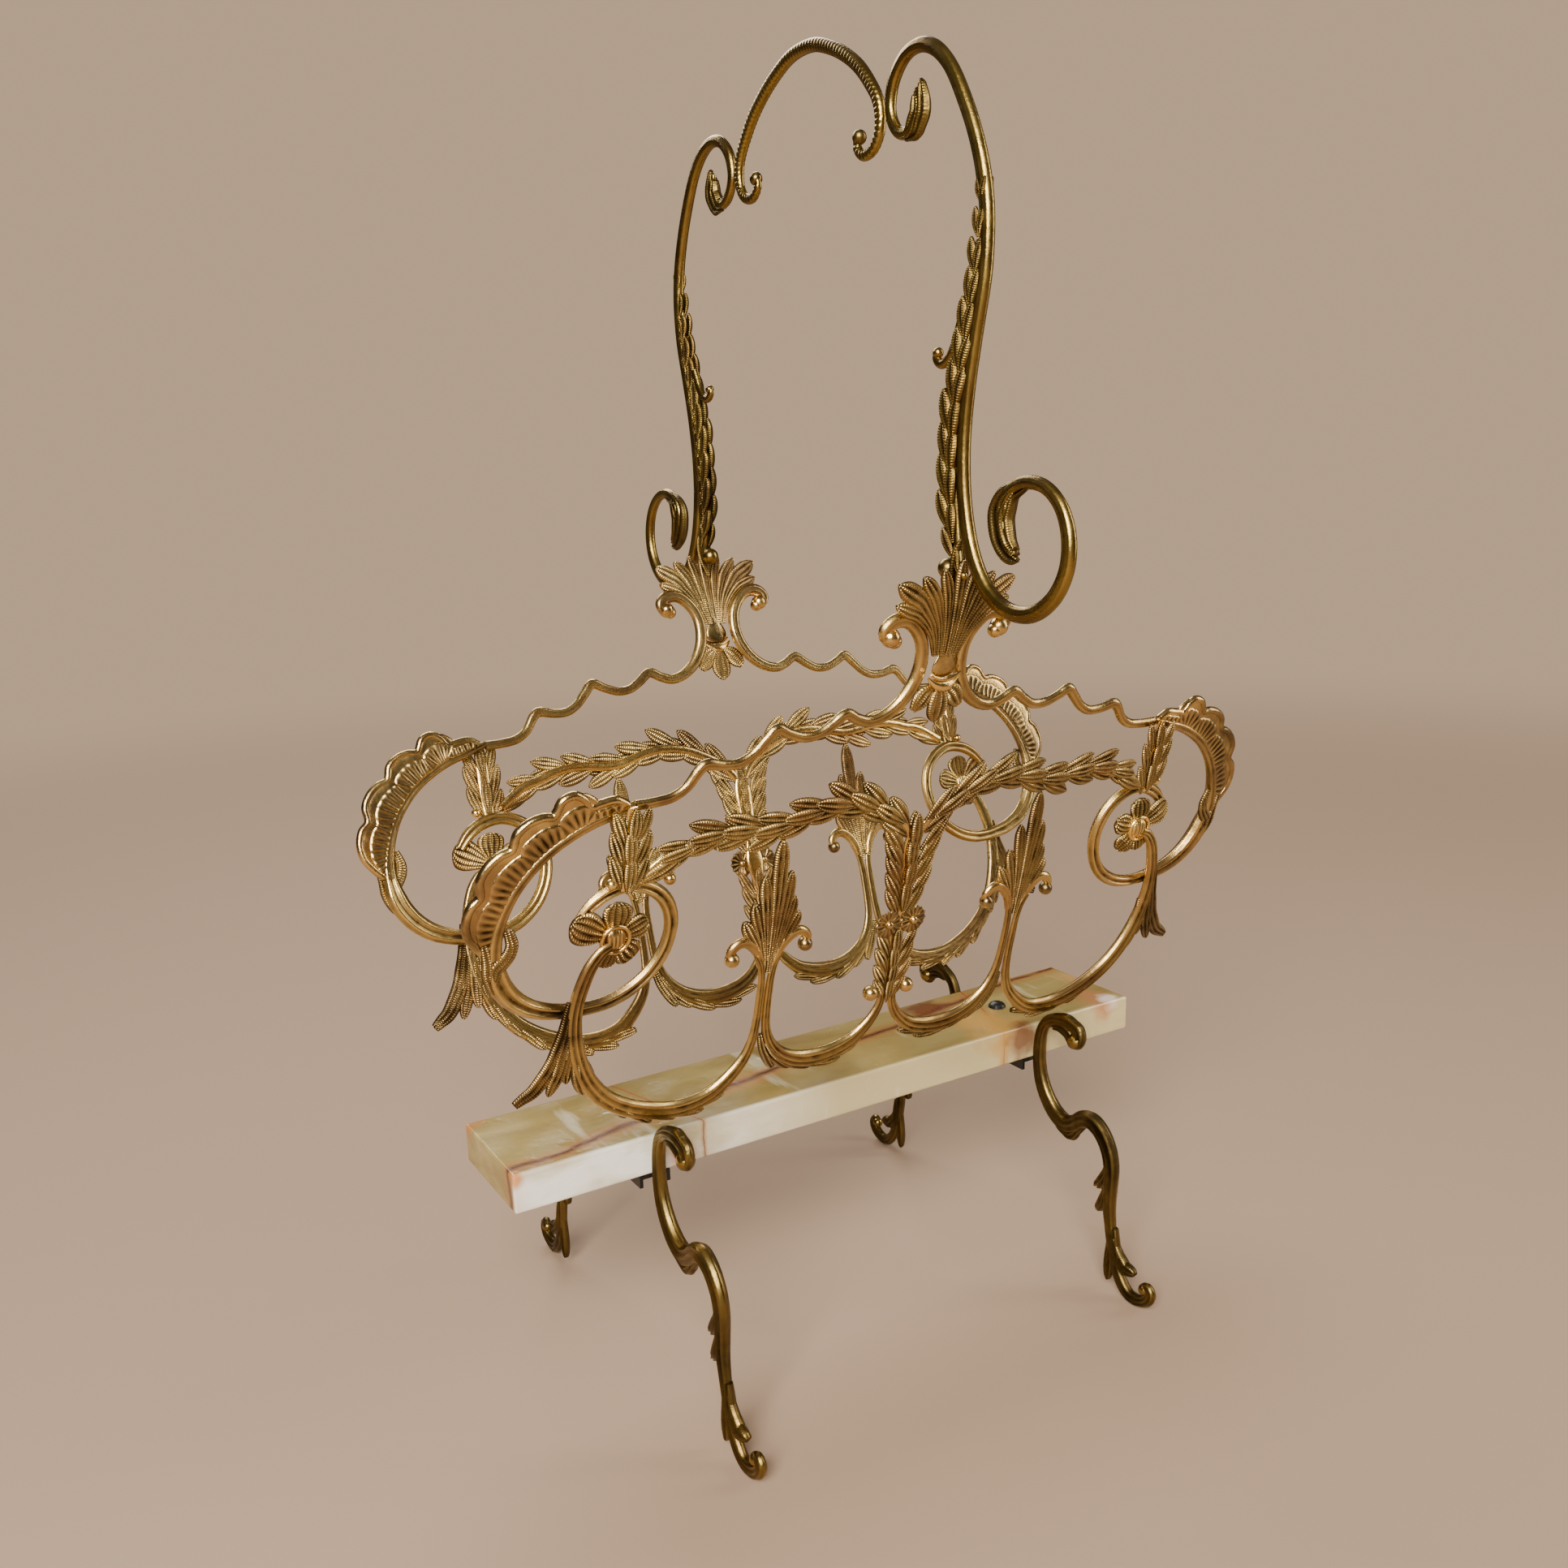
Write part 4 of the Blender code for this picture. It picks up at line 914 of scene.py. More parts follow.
BOTTOM_SCROLL = [
    (8.4, 15.6, 2.0), (5.6, 16.4, 1.9), (3.2, 12.8, 2.0), (3.4, 7, 2.3), (6.4, 0.5, 2.7), (11, -5, 3.2),
    (17, -9.5, 3.8), (25, -12.3, 4.2), (34, -13.3, 4.4), (43, -12.3, 4.3), (51, -9, 3.8),
    (57.5, -3.8, 3.3), (62, 3, 2.7), (64.4, 11, 2.3), (65.1, 20, 2.1), (65.2, 30, 2.0), (65, 37, 1.9),
    (63.8, 44, 1.8), (61.3, 49, 1.6),
]
BOTTOM_LEAVES = [
    ([(66.5, 7), (64.5, 0), (61.5, -6), (57.4, -13.4)], 2.3),
    ([(64, 2), (60, -5), (55, -10), (49, -15.4)], 2.3),
    ([(58, -6), (52, -11), (45, -15), (36.6, -18.8)], 2.2),
    ([(46, -13), (38, -16), (30, -17.6), (21, -17.8)], 2.1),
    ([(32, -15), (24, -15.4), (17.5, -13.8), (11.4, -12.6)], 1.9),
]


def peeling_leaf(casting, i, spine, half_width, tone, root_drop, tip_drop):
    """Set a long thin leaf, its tip lower than its root and every other tip lifted again."""
    leaf(casting, spine, half_width * LEAF_FULLNESS, "strand", FRONT_LAYER - root_drop,
         FRONT_LAYER - tip_drop + (i % 2) * 0.8, 0.6, 2.0, groove=0.68, tone=tone)


def build_s_scroll():
    casting = new_casting()
    stroke(casting, S_SCROLL, FRONT_LAYER + 0.2, rise=0.74, ridges=3, groove=0.55, flat=2.6, tone=0.3)
    for i, (spine, half_width, tone) in enumerate(S_LEAVES):
        peeling_leaf(casting, i, spine, half_width, tone, 0.2, 1.2)
    return gather("s_scroll", [cast(casting, GILT, 1.0)], GILT)


def build_bottom_scroll():
    casting = new_casting()
    stroke(casting, BOTTOM_SCROLL, FRONT_LAYER - 0.2, rise=0.74, ridges=3, groove=0.55, flat=2.6, tone=0.35)
    for i, (spine, half_width) in enumerate(BOTTOM_LEAVES):
        peeling_leaf(casting, i, spine, half_width, 0.35, 0.5, 1.4)
    ball(casting, (9.8, 14.2, FRONT_LAYER), 3.5, 0.4)
    return gather("bottom_scroll", [cast(casting, GILT, 1.0)], GILT)


SCROLLS = {"s_scroll": build_s_scroll(), "bottom_scroll": build_bottom_scroll()}
print_faces(SCROLLS)

# %% [markdown]
# ## Laurel swags
# A swag hangs from the middle of the panel to the end, and a short upright one joins it
# to the rail. Real laurel swags are cast as three rows of leaves, two splayed and one on
# top, so the leaf row tree runs three times over the same line. Where the swag meets the
# upright one its last leaves point back towards the middle.

# %% Garland and side garland
SWAG_PITCH = 0.0136
GARLAND = [
    (2.5, 93.5, 3.4), (6.5, 99, 3.6), (12, 103.6, 3.7), (21, 108.6, 3.7), (28, 111.6, 3.7),
    (36, 113.4, 3.7), (44, 113.8, 3.6), (52, 112.8, 3.6), (60, 110.8, 3.5), (68, 109.2, 3.5),
    (76, 109.6, 3.5), (85, 110.9, 3.5), (94, 111, 3.4), (103, 109.4, 3.2), (108, 107.6, 3.0),
]
GARLAND_BACK = [(133, 96, 3.6), (126, 100.2, 3.6), (119, 104.6, 3.4)]
SIDE_LINE = [(136.4, 91, 2.9), (136.4, 98, 3.0), (136.2, 105, 3.0), (136, 112.5, 2.8)]


def build_garland():
    base = FRONT_LAYER - 0.6
    low = leaf_row(GILT_LEAF, GARLAND, GILT, depth=base, pitch=SWAG_PITCH, splay=-0.28, side_step=-0.36,
                   seed=3)
    high = leaf_row(GILT_LEAF, GARLAND, GILT, depth=base + 0.3, pitch=SWAG_PITCH, start=0.0045,
                    splay=0.26, side_step=0.34, seed=8)
    top = leaf_row(GILT_LEAF, GARLAND, GILT, depth=base + 1.5, pitch=SWAG_PITCH, start=0.009, splay=0.01,
                   seed=5)
    ending = leaf_row(GILT_LEAF, GARLAND_BACK, GILT, depth=base + 0.6, pitch=0.0090, splay=0.16,
                      side_step=0.3, seed=2)
    stem = new_casting()
    stroke(stem, [(x, y, 2.2) for x, y, _ in GARLAND] + [(118, 105, 2.2), (130, 97.5, 2.2)], base, rise=0.6)
    leaf(stem, [(133.5, 95), (125, 99), (113.5, 103.4)], 2.7, "lens", base + 0.6, base, 0.6, 1.6)
    return gather("garland", [cast(stem, GILT, 1.5, 12), low, high, top, ending], GILT)


def build_side_garland():
    base = FRONT_LAYER - 0.8
    stem = new_casting()
    stroke(stem, [(136.3, 93, 2.4), (136.2, 104, 3.0), (136, 114, 3.0), (135.8, 124, 2.6), (136, 128, 2.0)],
           base + 0.3, rise=0.3)
    ball(stem, (142.6, 96.6, base), 2.2)
    left = leaf_row(GILT_LEAF, SIDE_LINE, GILT, depth=base + 0.4, pitch=0.0078, splay=0.36, side_step=0.85,
                    shake=0.08, seed=1)
    right = leaf_row(GILT_LEAF, SIDE_LINE, GILT, depth=base + 0.6, pitch=0.0078, start=0.003, splay=-0.36,
                     side_step=-0.85, shake=0.08, seed=6)
    middle = [leaf_row(GILT_LEAF, SIDE_LINE, GILT, depth=base + lift, pitch=0.0098, start=first, splay=0.0,
                       seed=4) for lift, first in ((1.5, 0.001), (-0.8, 0.004))]
    return gather("side_garland", [cast(stem, GILT, 1.2, 14), left, right, *middle], GILT)


SWAGS = {"garland": build_garland(), "side_garland": build_side_garland()}
print_faces(SWAGS)

# %% [markdown]
# ## The spray and the flower
# Between the middle and the end a stem opens into a feather of seven lobes over two
# curls. Inside the ring sits a flower of five ribbed petals round a hatched dome. Lobes
# and petals are leaves again, with another shape from the table.

# %% Spray and flower
SPRAY_X = 67.4
SPRAY_LOBES = [
    ([(0, 40), (0, 70), (0.4, 103)], 3.5, 1.6), ([(1, 44), (3.4, 62), (6.4, 87)], 2.9, 1.0),
    ([(1.6, 43), (5, 58), (9.8, 74.5)], 2.9, 0.5), ([(2.2, 42), (6.6, 54), (13.4, 66.2)], 2.8, 0.1),
]
SPRAY_CURL = [
    (3.2, 43, 1.9), (4.6, 48.5, 2.3), (7.4, 53, 2.5), (11.5, 56.2, 2.5), (15.6, 56.2, 2.4),
    (18.6, 53.2, 2.2), (18.6, 50, 1.8),
]
FLOWER = (139.4, 71.4)
DOME = ((-4.6, 0.8), (-3.6, 3.6), (-1.5, 5.2), (1.5, 5.2), (3.6, 3.6), (4.6, 0.8))
PETALS = [((138, 86.6), 6.6), ((124.8, 76.4), 5.6), ((130.2, 60.2), 6.2), ((143.8, 58.8), 4.6),
          ((157.2, 81.2), 7.4)]


def build_spray():
    casting = new_casting()
    base = FRONT_LAYER - 1.0
    for spine, half_width, height in SPRAY_LOBES:
        for way in ((1, -1) if spine[-1][0] > 1 else (1,)):
            points = [(SPRAY_X + way * x, y) for x, y in spine]
            leaf(casting, points, half_width * 1.16, "lobe", base + height, base + height - 0.4, 0.7, 2.1,
                 groove=0.6, tone=0.15)
    for way in (1, -1):
        curl = [(SPRAY_X + way * x, y, half) for x, y, half in SPRAY_CURL]
        stroke(casting, curl, base + 0.2, rise=0.85, ridges=2, groove=0.2, tone=0.2)
        ball(casting, (SPRAY_X + way * 17.9, 49.4, base + 0.6), 3.2, 1.0)
    return gather("spray", [cast(casting, GILT, 1.0)], GILT)


def build_flower():
    casting = new_casting()
    base = BACK_LAYER + 0.6
    for i, (tip, half_width) in enumerate(PETALS):
        dx = tip[0] - FLOWER[0]
        dy = tip[1] - FLOWER[1]
        start = (FLOWER[0] + dx * 0.2, FLOWER[1] + dy * 0.2)
        leaf(casting, [start, tip], half_width, "petal", base + 0.9, base + 0.1 + 0.5 * (i % 2), 0.9, 1.9,
             ridges=5, groove=0.72, flat=4.0, tone=0.1)
    rim = [(FLOWER[0] + 5.9 * cos(a), FLOWER[1] + 5.9 * sin(a), 0.9) for a in (
        2 * pi * i / 16 for i in range(18))]
    stroke(casting, rim, base + 2.4, rise=1.3)
    dome = [(FLOWER[0] + x, FLOWER[1], half) for x, half in DOME]
    stroke(casting, dome, base + 1.0, rib_pitch=1.7, rib_depth=0.45,
           thickness=[0.6, 2.6, 3.4, 3.4, 2.6, 0.6])
    return gather("flower", [cast(casting, GILT, 0.5, 28)], GILT)


BLOOMS = {"spray": build_spray(), "flower": build_flower()}
print_faces(BLOOMS)

# %% [markdown]
# ## The palmette and the pendant
# The palmette stands at the top of the panel's middle, a fan of hatched lobes gathered
# by a crescent collar. Below it hangs the pendant: paired leaves, two small rosettes and
# more leaves. Both are symmetric, so only their middles and right halves are listed.

# %% Palmette and pendant
PALMETTE_LOBES = [
    ([(5.5, 174), (9.5, 184), (16.5, 191.5), (27.8, 196)], 3.2, 0.0),
    ([(4.6, 174), (8.6, 187), (16.5, 197.4), (28.4, 204.4)], 4.3, 0.5),
    ([(3.4, 174), (6.2, 188), (10.6, 199), (17.2, 207)], 3.3, 1.0),
    ([(2.0, 174), (3.6, 190), (5.4, 201), (8.3, 209.6)], 2.9, 1.4),
    ([(0, 173), (0, 195), (0, 213.2)], 3.1, 1.9),
]
PENDANT_SIDES = [
    [(1.0, 53, 3.1), (1.4, 62, 3.3), (2.0, 71, 3.5), (3.0, 80, 3.6), (3.6, 84, 3.6)],
    [(0.6, 8, 2.6), (1.0, 16, 2.8), (1.4, 24, 3.0), (1.6, 31, 3.0)],
]
PENDANT_MIDDLE = [
    [(0, 55, 3.0), (0, 70, 3.3), (0, 84, 3.5)],
    [(0, 7, 2.5), (0, 20, 2.7), (0, 31, 2.8)],
]
BOW = [
    (-7.4, 1.1, 0.5), (-5, -0.9, 1.5), (-2.6, -2.1, 2.3), (0, -2.5, 2.6), (2.6, -2.1, 2.3),
    (5, -0.9, 1.5), (7.4, 1.1, 0.5),
]
# How far across and up each rosette sits, and its radius.
ROSETTE = (6.6, 50.0, 6.9)
ROSETTE_HEART = 1.6
ROSETTE_RAYS = 14


def both(points):
    return (points, [(-x, y) for x, y in points]) if points[-1][0] > 0.5 else (points,)


def build_palmette():
    casting = new_casting()
    base = FRONT_LAYER - 1.6
    for spine, half_width, height in PALMETTE_LOBES:
        for points in both(spine):
            leaf(casting, points, half_width, "lobe", base + height * 0.6, base + height - 0.2, 0.9, 2.1,
                 groove=0.62, hatch=0.6, tone=0.4)
    for way in (1, -1):
        leaf(casting, [(2.4 * way, 161), (7 * way, 157.4), (12 * way, 150.8)], 4.5, "lens", base, base,
             0.5, 1.7, tone=0.15)
    leaf(casting, [(0, 161), (0, 153), (0, 144.6)], 5.4, "lens", base + 0.7, base + 0.4, 0.6, 1.8, tone=0.15)
    stroke(casting, [(x, 163.6 + y, half) for x, y, half in BOW], base + 1.6, rise=1.1, tone=0.1)
    thin_bow = [(x, 166.0 + y * 0.75, 0.5 + half * 0.16) for x, y, half in BOW]
    stroke(casting, thin_bow, base + 2.8, rise=0.8, tone=0.5)
    stroke(casting, [(0, 164.6, 3.2), (0, 166.4, 5.4), (0, 169.4, 5.8), (0, 172.4, 4.6), (0, 175, 2.8),
                     (0, 177, 0.9)], base + 0.8, rise=0.2, tone=1.0)
    return gather("palmette", [cast(casting, GILT, 0.9)], GILT)


def build_pendant():
    casting = new_casting()
    base = FRONT_LAYER - 1.2
    stroke(casting, [(0, 98, 1.4), (0, 88, 4.6), (0, 74, 4.2), (0, 60, 3.4), (0, 50, 5.0), (0, 38, 3.0),
                     (0, 26, 2.6), (0, 14, 1.4)], base + 0.2, rise=0.26, flat=4.0)
    for way in (1, -1):
        middle = (ROSETTE[0] * way, ROSETTE[1])
        for k in range(ROSETTE_RAYS):
            turn = 2 * pi * k / ROSETTE_RAYS
            ray = [(middle[0] + far * cos(turn), middle[1] + far * sin(turn))
                   for far in (ROSETTE_HEART, ROSETTE[2])]
            leaf(casting, ray, 1.6, "lobe", base + 2.0, base + 1.7, 0.0, 0.9, ridges=1, groove=0.5,
                 flat=5.0, hatch=0.0, tone=0.9)
        ball(casting, (*middle, base + 2.4), 2.0, 0.8)
    parts = [cast(casting, GILT, 0.8, 16)]
    for line in PENDANT_SIDES:
        for way in (1, -1):
            side = [(x * way, y, half) for x, y, half in line]
            parts.append(leaf_row(GILT_LEAF, side, GILT, depth=base + 0.7 + 0.2 * way, pitch=0.0074,
                                  splay=-0.46 * way, side_step=-0.2 * way, shake=0.08, seed=11 + way))
    for line in PENDANT_MIDDLE:
        for lift, first in ((1.6, 0.0), (-0.9, 0.003)):
            parts.append(leaf_row(GILT_LEAF, line, GILT, depth=base + lift, pitch=0.0078, start=first,
                                  splay=0.0, seed=9))
    return gather("pendant", parts, GILT)


MIDDLES = {"palmette": build_palmette(), "pendant": build_pendant()}
print_faces(MIDDLES)

# %% [markdown]
# ## Setting up the two panels
# Every drawing but the palmette and the pendant belongs to the right half of a panel, and
# is placed four times: on the front and back planes, as drawn and mirrored. Those two sit
# on the middle line, so they are placed twice.

# %% Place the panel castings
panel_count = 0
for side, panel in PANELS:
    plane = panel_plane(side)
    for name, mesh in {**RODS, **SCROLLS, **SWAGS, **BLOOMS}.items():
        for sign in (1, -1):
            hand = "right" if sign * -side > 0 else "left"
            shown = mesh if sign > 0 else mirrored_copy(mesh)
            label = f"{panel}_{name}_{hand}"
            place(shown, f"cast_{label}", plane, [label], "gilt_brass")
            panel_count += 1
    for name, mesh in MIDDLES.items():
        place(mesh, f"cast_{panel}_{name}", plane, [f"{panel}_{name}"], "gilt_brass")
        panel_count += 1
print("panel castings placed:", panel_count)

# %% [markdown]
# ## The legs
# A leg is one bent bar. A hooked scroll with a ball end stands proud of the slab, the
# shaft hugs the slab's face, then it rolls over a knee and runs down to a curled toe.
# Small leaves break its line: a pair behind the shin, a pointed one over the foot and a
# spur at the heel.

# %% Legs
LEG = [
    (25.4, 19.2, 2.4), (28, 17.4, 3.4), (31, 18.6, 3.6), (32, 22, 3.5), (30, 25.4, 3.5), (24, 26.8, 3.3),
    (16.5, 26.0, 3.1), (9.2, 22.4, 3.0), (5.4, 15.5, 3.2), (4.1, 6.5, 3.4), (4.3, -2.6, 3.6),
    (6.3, -11, 3.9), (10.8, -19, 4.2), (17.3, -25.2, 4.5), (24.2, -27.6, 4.7), (30.2, -25.6, 4.6),
    (35.6, -21.2, 4.6), (42, -19.4, 4.6), (48.6, -22.8, 4.4), (53.6, -29.8, 4.2), (55.8, -38.6, 4.0),
    (55.6, -48.6, 3.8), (55.2, -58.6, 3.5), (56.2, -68.6, 3.1), (57.8, -78.6, 2.9),
    (60.2, -87.6, 3.0), (64, -95.4, 3.2), (69.4, -100.6, 3.2), (75.6, -101.1, 3.1),
    (81, -98.6, 3.1), (83.4, -94.4, 2.9), (81.6, -91.4, 2.6), (78.8, -92.2, 1.9),
]
LEG_LEAVES = [
    ([(57.6, -70), (57, -82), (56.2, -91), (55.8, -100)], 2.9),
    ([(58.4, -76), (61.5, -83), (66.5, -88), (73.6, -88.2)], 3.7),
    ([(59, -70), (59.6, -80), (63, -88.6)], 3.2),
    ([(56, -34), (53.6, -43), (50, -49), (46, -52.4)], 3.6),
    ([(55.4, -46), (53, -55), (50.8, -60.4), (47.4, -65)], 3.4),
    ([(15, -21), (21, -29.8), (28.6, -32.2), (33.4, -26.4)], 3.6),
    ([(30, -31.4), (34, -25.4), (38, -19), (45, -16.8)], 3.4),
    ([(8, 20), (15, 25.8), (23, 27.6), (31.4, 24.8), (33, 18.4)], 3.6),
    ([(14, 21.4), (19, 22.6), (24.4, 21.4), (27.4, 16.4)], 3.2),
]
FACE_OF_SLAB = 29.3


def leg_spot(points):
    top = SLAB_TOP - SLAB[2]
    return [(FACE_OF_SLAB + p[0], top + p[1], *p[2:]) for p in points]


def build_leg():
    casting = new_casting()
    stroke(casting, leg_spot(LEG), 0.0, rise=1.0, ridges=3, groove=0.42, tone=0.75)
    for spine, half_width in LEG_LEAVES:
        leaf(casting, leg_spot(spine), half_width, "strand", 0.0, 0.0, 0.0, half_width * 0.95, ridges=3,
             groove=0.55, flat=2.2, tone=0.7, hatch=0.3)
    ball(casting, (*leg_spot([(29.6, 18.8)])[0], 0.0), 4.3, 0.2)
    ball(casting, (*leg_spot([(79.6, -93.2)])[0], 0.0), 3.0, 0.4)
    return gather("leg", [cast(casting, ANTIQUE, 0.9, 24)], ANTIQUE)


LEG_MESH = build_leg()
for x, hand in ((-LEG_X, "left"), (LEG_X, "right")):
    for side, panel in PANELS:
        place(LEG_MESH, f"cast_leg_{panel}_{hand}", upright_plane(x, side), [f"leg_{panel}_{hand}"],
              "antique_brass")
print("leg faces:", len(LEG_MESH.polygons))

# %% [markdown]
# ## The handle
# Two arms rise from the palmettes. Low down each one throws out a big open scroll that
# ends in a folded bud, and a leafy strip climbs its inner side past a thorn. At the top
# the arm hooks inwards and the arch hangs between the two hooks. The arch has fine
# ribs all along, which are the same "rib" values that the comb uses.

# %% Arms, arch and screws
ARM = [
    (77.5, 537, 1.4), (77.6, 530, 1.9), (72, 523.6, 2.3), (65.5, 524.5, 2.4), (61.2, 530, 2.4),
    (60.3, 536, 2.5), (63, 543.6, 2.6), (70, 549.7, 2.6), (79, 551, 2.7), (88, 547.5, 2.8),
    (96.5, 539.5, 2.8), (104, 527.5, 2.9), (110.5, 514, 2.9), (115, 500, 3.0), (117, 485, 3.0),
    (115.8, 467, 3.0), (111, 447, 3.0), (106.8, 428, 3.0), (104.3, 408, 3.0), (105, 388, 3.0),
    (109.5, 369, 3.1), (118, 355, 3.2), (130, 347.4, 3.3), (143, 346.6, 3.3), (154, 352.5, 3.2),
    (160.5, 362.5, 3.0), (161.5, 374, 2.9), (157.5, 384.5, 2.7), (149.5, 391.5, 2.6),
    (139.5, 393.5, 2.6), (131, 390.5, 2.7), (126.8, 384, 2.7), (127, 377, 2.4),
]
ARM_BUDS = [
    ([(136, 393.5), (128, 390.5), (123.6, 383.6), (124.4, 375), (129.6, 367.4), (135.4, 365.6)], 5.2, 2.8),
    ([(140, 392), (132, 388.6), (128.6, 381.6), (129.8, 373.6), (135, 367.6)], 3.6, 3.2),
    ([(134, 391), (129, 386.6), (128, 379.6)], 3.4, 3.6),
    ([(70, 520.8), (77, 521.8), (81.2, 529), (79.6, 539.4)], 3.5, 2.4),
    ([(66, 522.4), (73, 522.6), (77, 529), (76.6, 536)], 3.2, 3.0),
]
STRIP = [
    (104.0, 358, 2.0), (101.6, 366, 2.9), (99.6, 377, 3.6), (98.8, 390, 3.8), (99.2, 405, 3.8),
    (101.2, 420, 3.6),
    (104.4, 435, 3.3), (108.4, 450, 3.0), (112.0, 465, 2.6), (114.2, 478, 2.2), (115.4, 491, 1.7),
]
THORN = [
    (103.5, 452, 2.4), (99.5, 444, 2.2), (95.5, 439.5, 2.0), (91, 438.2, 1.9), (88.2, 440.6, 1.8),
    (88.6, 443.6, 1.1),
]
ARCH_HALF = [
    (0, 570, 2.7), (10, 569, 2.7), (20, 565.5, 2.7), (30, 560.5, 2.7), (40, 553.5, 2.7),
    (48, 545, 2.6), (52.4, 538.5, 2.5), (53.8, 532, 2.4), (52.6, 526, 2.3), (48.5, 521.7, 2.2),
    (42.5, 520.9, 2.1), (38.3, 524.5, 1.9), (39.2, 529.8, 1.7),
]
# The handle is listed with its screws in one place and moved to where the panels put them.
TOP = 573.2
DRAWN_SCREW = (101.1, 360.1)
SCREW_V = 207.0
SCREW_OUT = DATUM_Y + SCREW_V * sin(PANEL_LEAN)
SCREW_RISE = DATUM_Z + SCREW_V * cos(PANEL_LEAN)
HANDLE_SHIFT = SCREW_OUT - DRAWN_SCREW[0]
HANDLE_STRETCH = (TOP - SCREW_RISE) / (TOP - DRAWN_SCREW[1])
STRIP_PITCH = 0.0115


def handle_spot(points):
    return [(p[0] + HANDLE_SHIFT, SCREW_RISE + (p[1] - DRAWN_SCREW[1]) * HANDLE_STRETCH, *p[2:])
            for p in points]


def build_arm():
    casting = new_casting()
    stroke(casting, handle_spot(ARM), 0.0, rise=0.95, ridges=3, groove=0.14, tone=0.15)
    for spine, half_width, thick in ARM_BUDS:
        leaf(casting, handle_spot(spine), half_width, "lens", 0.0, 0.0, 0.0, thick, ridges=2, groove=0.72,
             tone=0.45, hatch=0.4)
    stroke(casting, [(x, y, half * 0.8) for x, y, half in handle_spot(STRIP)], 0.0, rise=0.6, tone=0.6)
    stroke(casting, handle_spot(THORN), 0.0, rise=0.9, tone=0.3)
    ball(casting, (*handle_spot([(89.0, 442.4)])[0], 0.0), 2.1, 0.3)
    parts = [cast(casting, ANTIQUE, 0.9, 24)]
    line = [(x, y, half * 0.88) for x, y, half in handle_spot(STRIP)]
    for face in (1, -1):
        parts.append(leaf_row(ANTIQUE_LEAF, line, ANTIQUE, depth=1.7 * face, pitch=STRIP_PITCH,
                              start=0.002 if face > 0 else 0.007, splay=-0.12, side_step=-0.1, seed=3))
        parts.append(leaf_row(ANTIQUE_LEAF, line, ANTIQUE, depth=1.5 * face, pitch=STRIP_PITCH,
                              start=0.0078 if face > 0 else 0.001, splay=0.26, side_step=0.4, seed=7))
    mesh = gather("arm", parts, ANTIQUE)
    mesh.transform(upright_plane(0.0, -1))
    foot = new_casting()
    leaf(foot, [(0, 198.5), (0, 210), (0, 221)], 4.2, "lens", -0.9, -0.9, 0.0, 1.1, groove=0.4, tone=0.3)
    foot_mesh = gather("foot", [cast(foot, ANTIQUE, 0.9)], ANTIQUE)
    foot_mesh.transform(panel_plane(-1))
    return gather("handle_arm", [mesh, foot_mesh], ANTIQUE)


def build_arch():
    casting = new_casting()
    half = handle_spot(ARCH_HALF)
    full = [(-x, z, w) for x, z, w in half[:0:-1]] + [(0.0, half[0][1], half[0][2])] + half[1:]
    stroke(casting, full, 0.0, rise=0.95, flat=2.4, rib_pitch=2.1, rib_depth=0.34, tone=0.1)
    for way in (1, -1):
        tip = full[-1] if way > 0 else full[0]
        ball(casting, (tip[0] + way * 0.4, tip[1] - 1.6, 0.0), 2.9, 1.0)
    return gather("arch", [cast(casting, ANTIQUE, 0.32, 24)], ANTIQUE)


def build_screw():
    casting = new_casting()
    ball(casting, (0.0, SCREW_V, -6.2), 4.1, 0.3)
    ball(casting, (0.0, SCREW_V, 3.6), 1.6, 0.0)
    return gather("screw", [cast(casting, ANTIQUE)], ANTIQUE)


ARM_MESH = build_arm()
place(ARM_MESH, "cast_handle_arm_front", None, ["handle_arm_front"], "antique_brass")
place(ARM_MESH, "cast_handle_arm_back", Matrix.Rotation(pi, 4, "Z"), ["handle_arm_back"], "antique_brass")
ARCH_MESH = build_arch()
place(ARCH_MESH, "cast_handle_arch", upright_plane(0.0, -1), ["handle_arch"], "antique_brass")
SCREW_MESH = build_screw()
for side, panel in PANELS:
    place(SCREW_MESH, f"cast_ball_screw_{panel}", panel_plane(side), [f"ball_screw_{panel}"], "antique_brass")
print("arm faces:", len(ARM_MESH.polygons), "arch faces:", len(ARCH_MESH.polygons))

# %% [markdown]
# ## The onyx slab and the steel under it
# The slab is a plain block with softened edges, so a bevel does it. It is a smaller bevel
# than the CAD model has, in three steps instead of two. The straps, bolts, washers and
# nuts are shown as the CAD model has them, in the blackened steel finish.

# %% Slab and steel
SLAB_BEVEL = 1.1
slab_mesh = bpy.data.meshes.new("slab")
body = bmesh.new()
centre = Vector((0.0, 0.0, (SLAB_TOP - SLAB[2] / 2) * MM))
stretch = Matrix.Diagonal((*(size * MM for size in SLAB), 1.0))
bmesh.ops.create_cube(body, size=1.0, matrix=Matrix.Translation(centre) @ stretch)
bmesh.ops.bevel(body, geom=list(body.edges), offset=SLAB_BEVEL * MM, segments=3, profile=0.5,
                affect="EDGES")
bmesh.ops.recalc_face_normals(body, faces=body.faces)
body.to_mesh(slab_mesh)
body.free()
slab_mesh.materials.append(ONYX)
place(slab_mesh, "onyx_block", None, ["onyx_slab"], "onyx")
for name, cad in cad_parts.items():
    if name.split("_")[0] in ("strap", "bolt", "washer", "nut"):
        cad.data.materials.clear()
        cad.data.materials.append(STEEL)
print("slab faces:", len(slab_mesh.polygons))

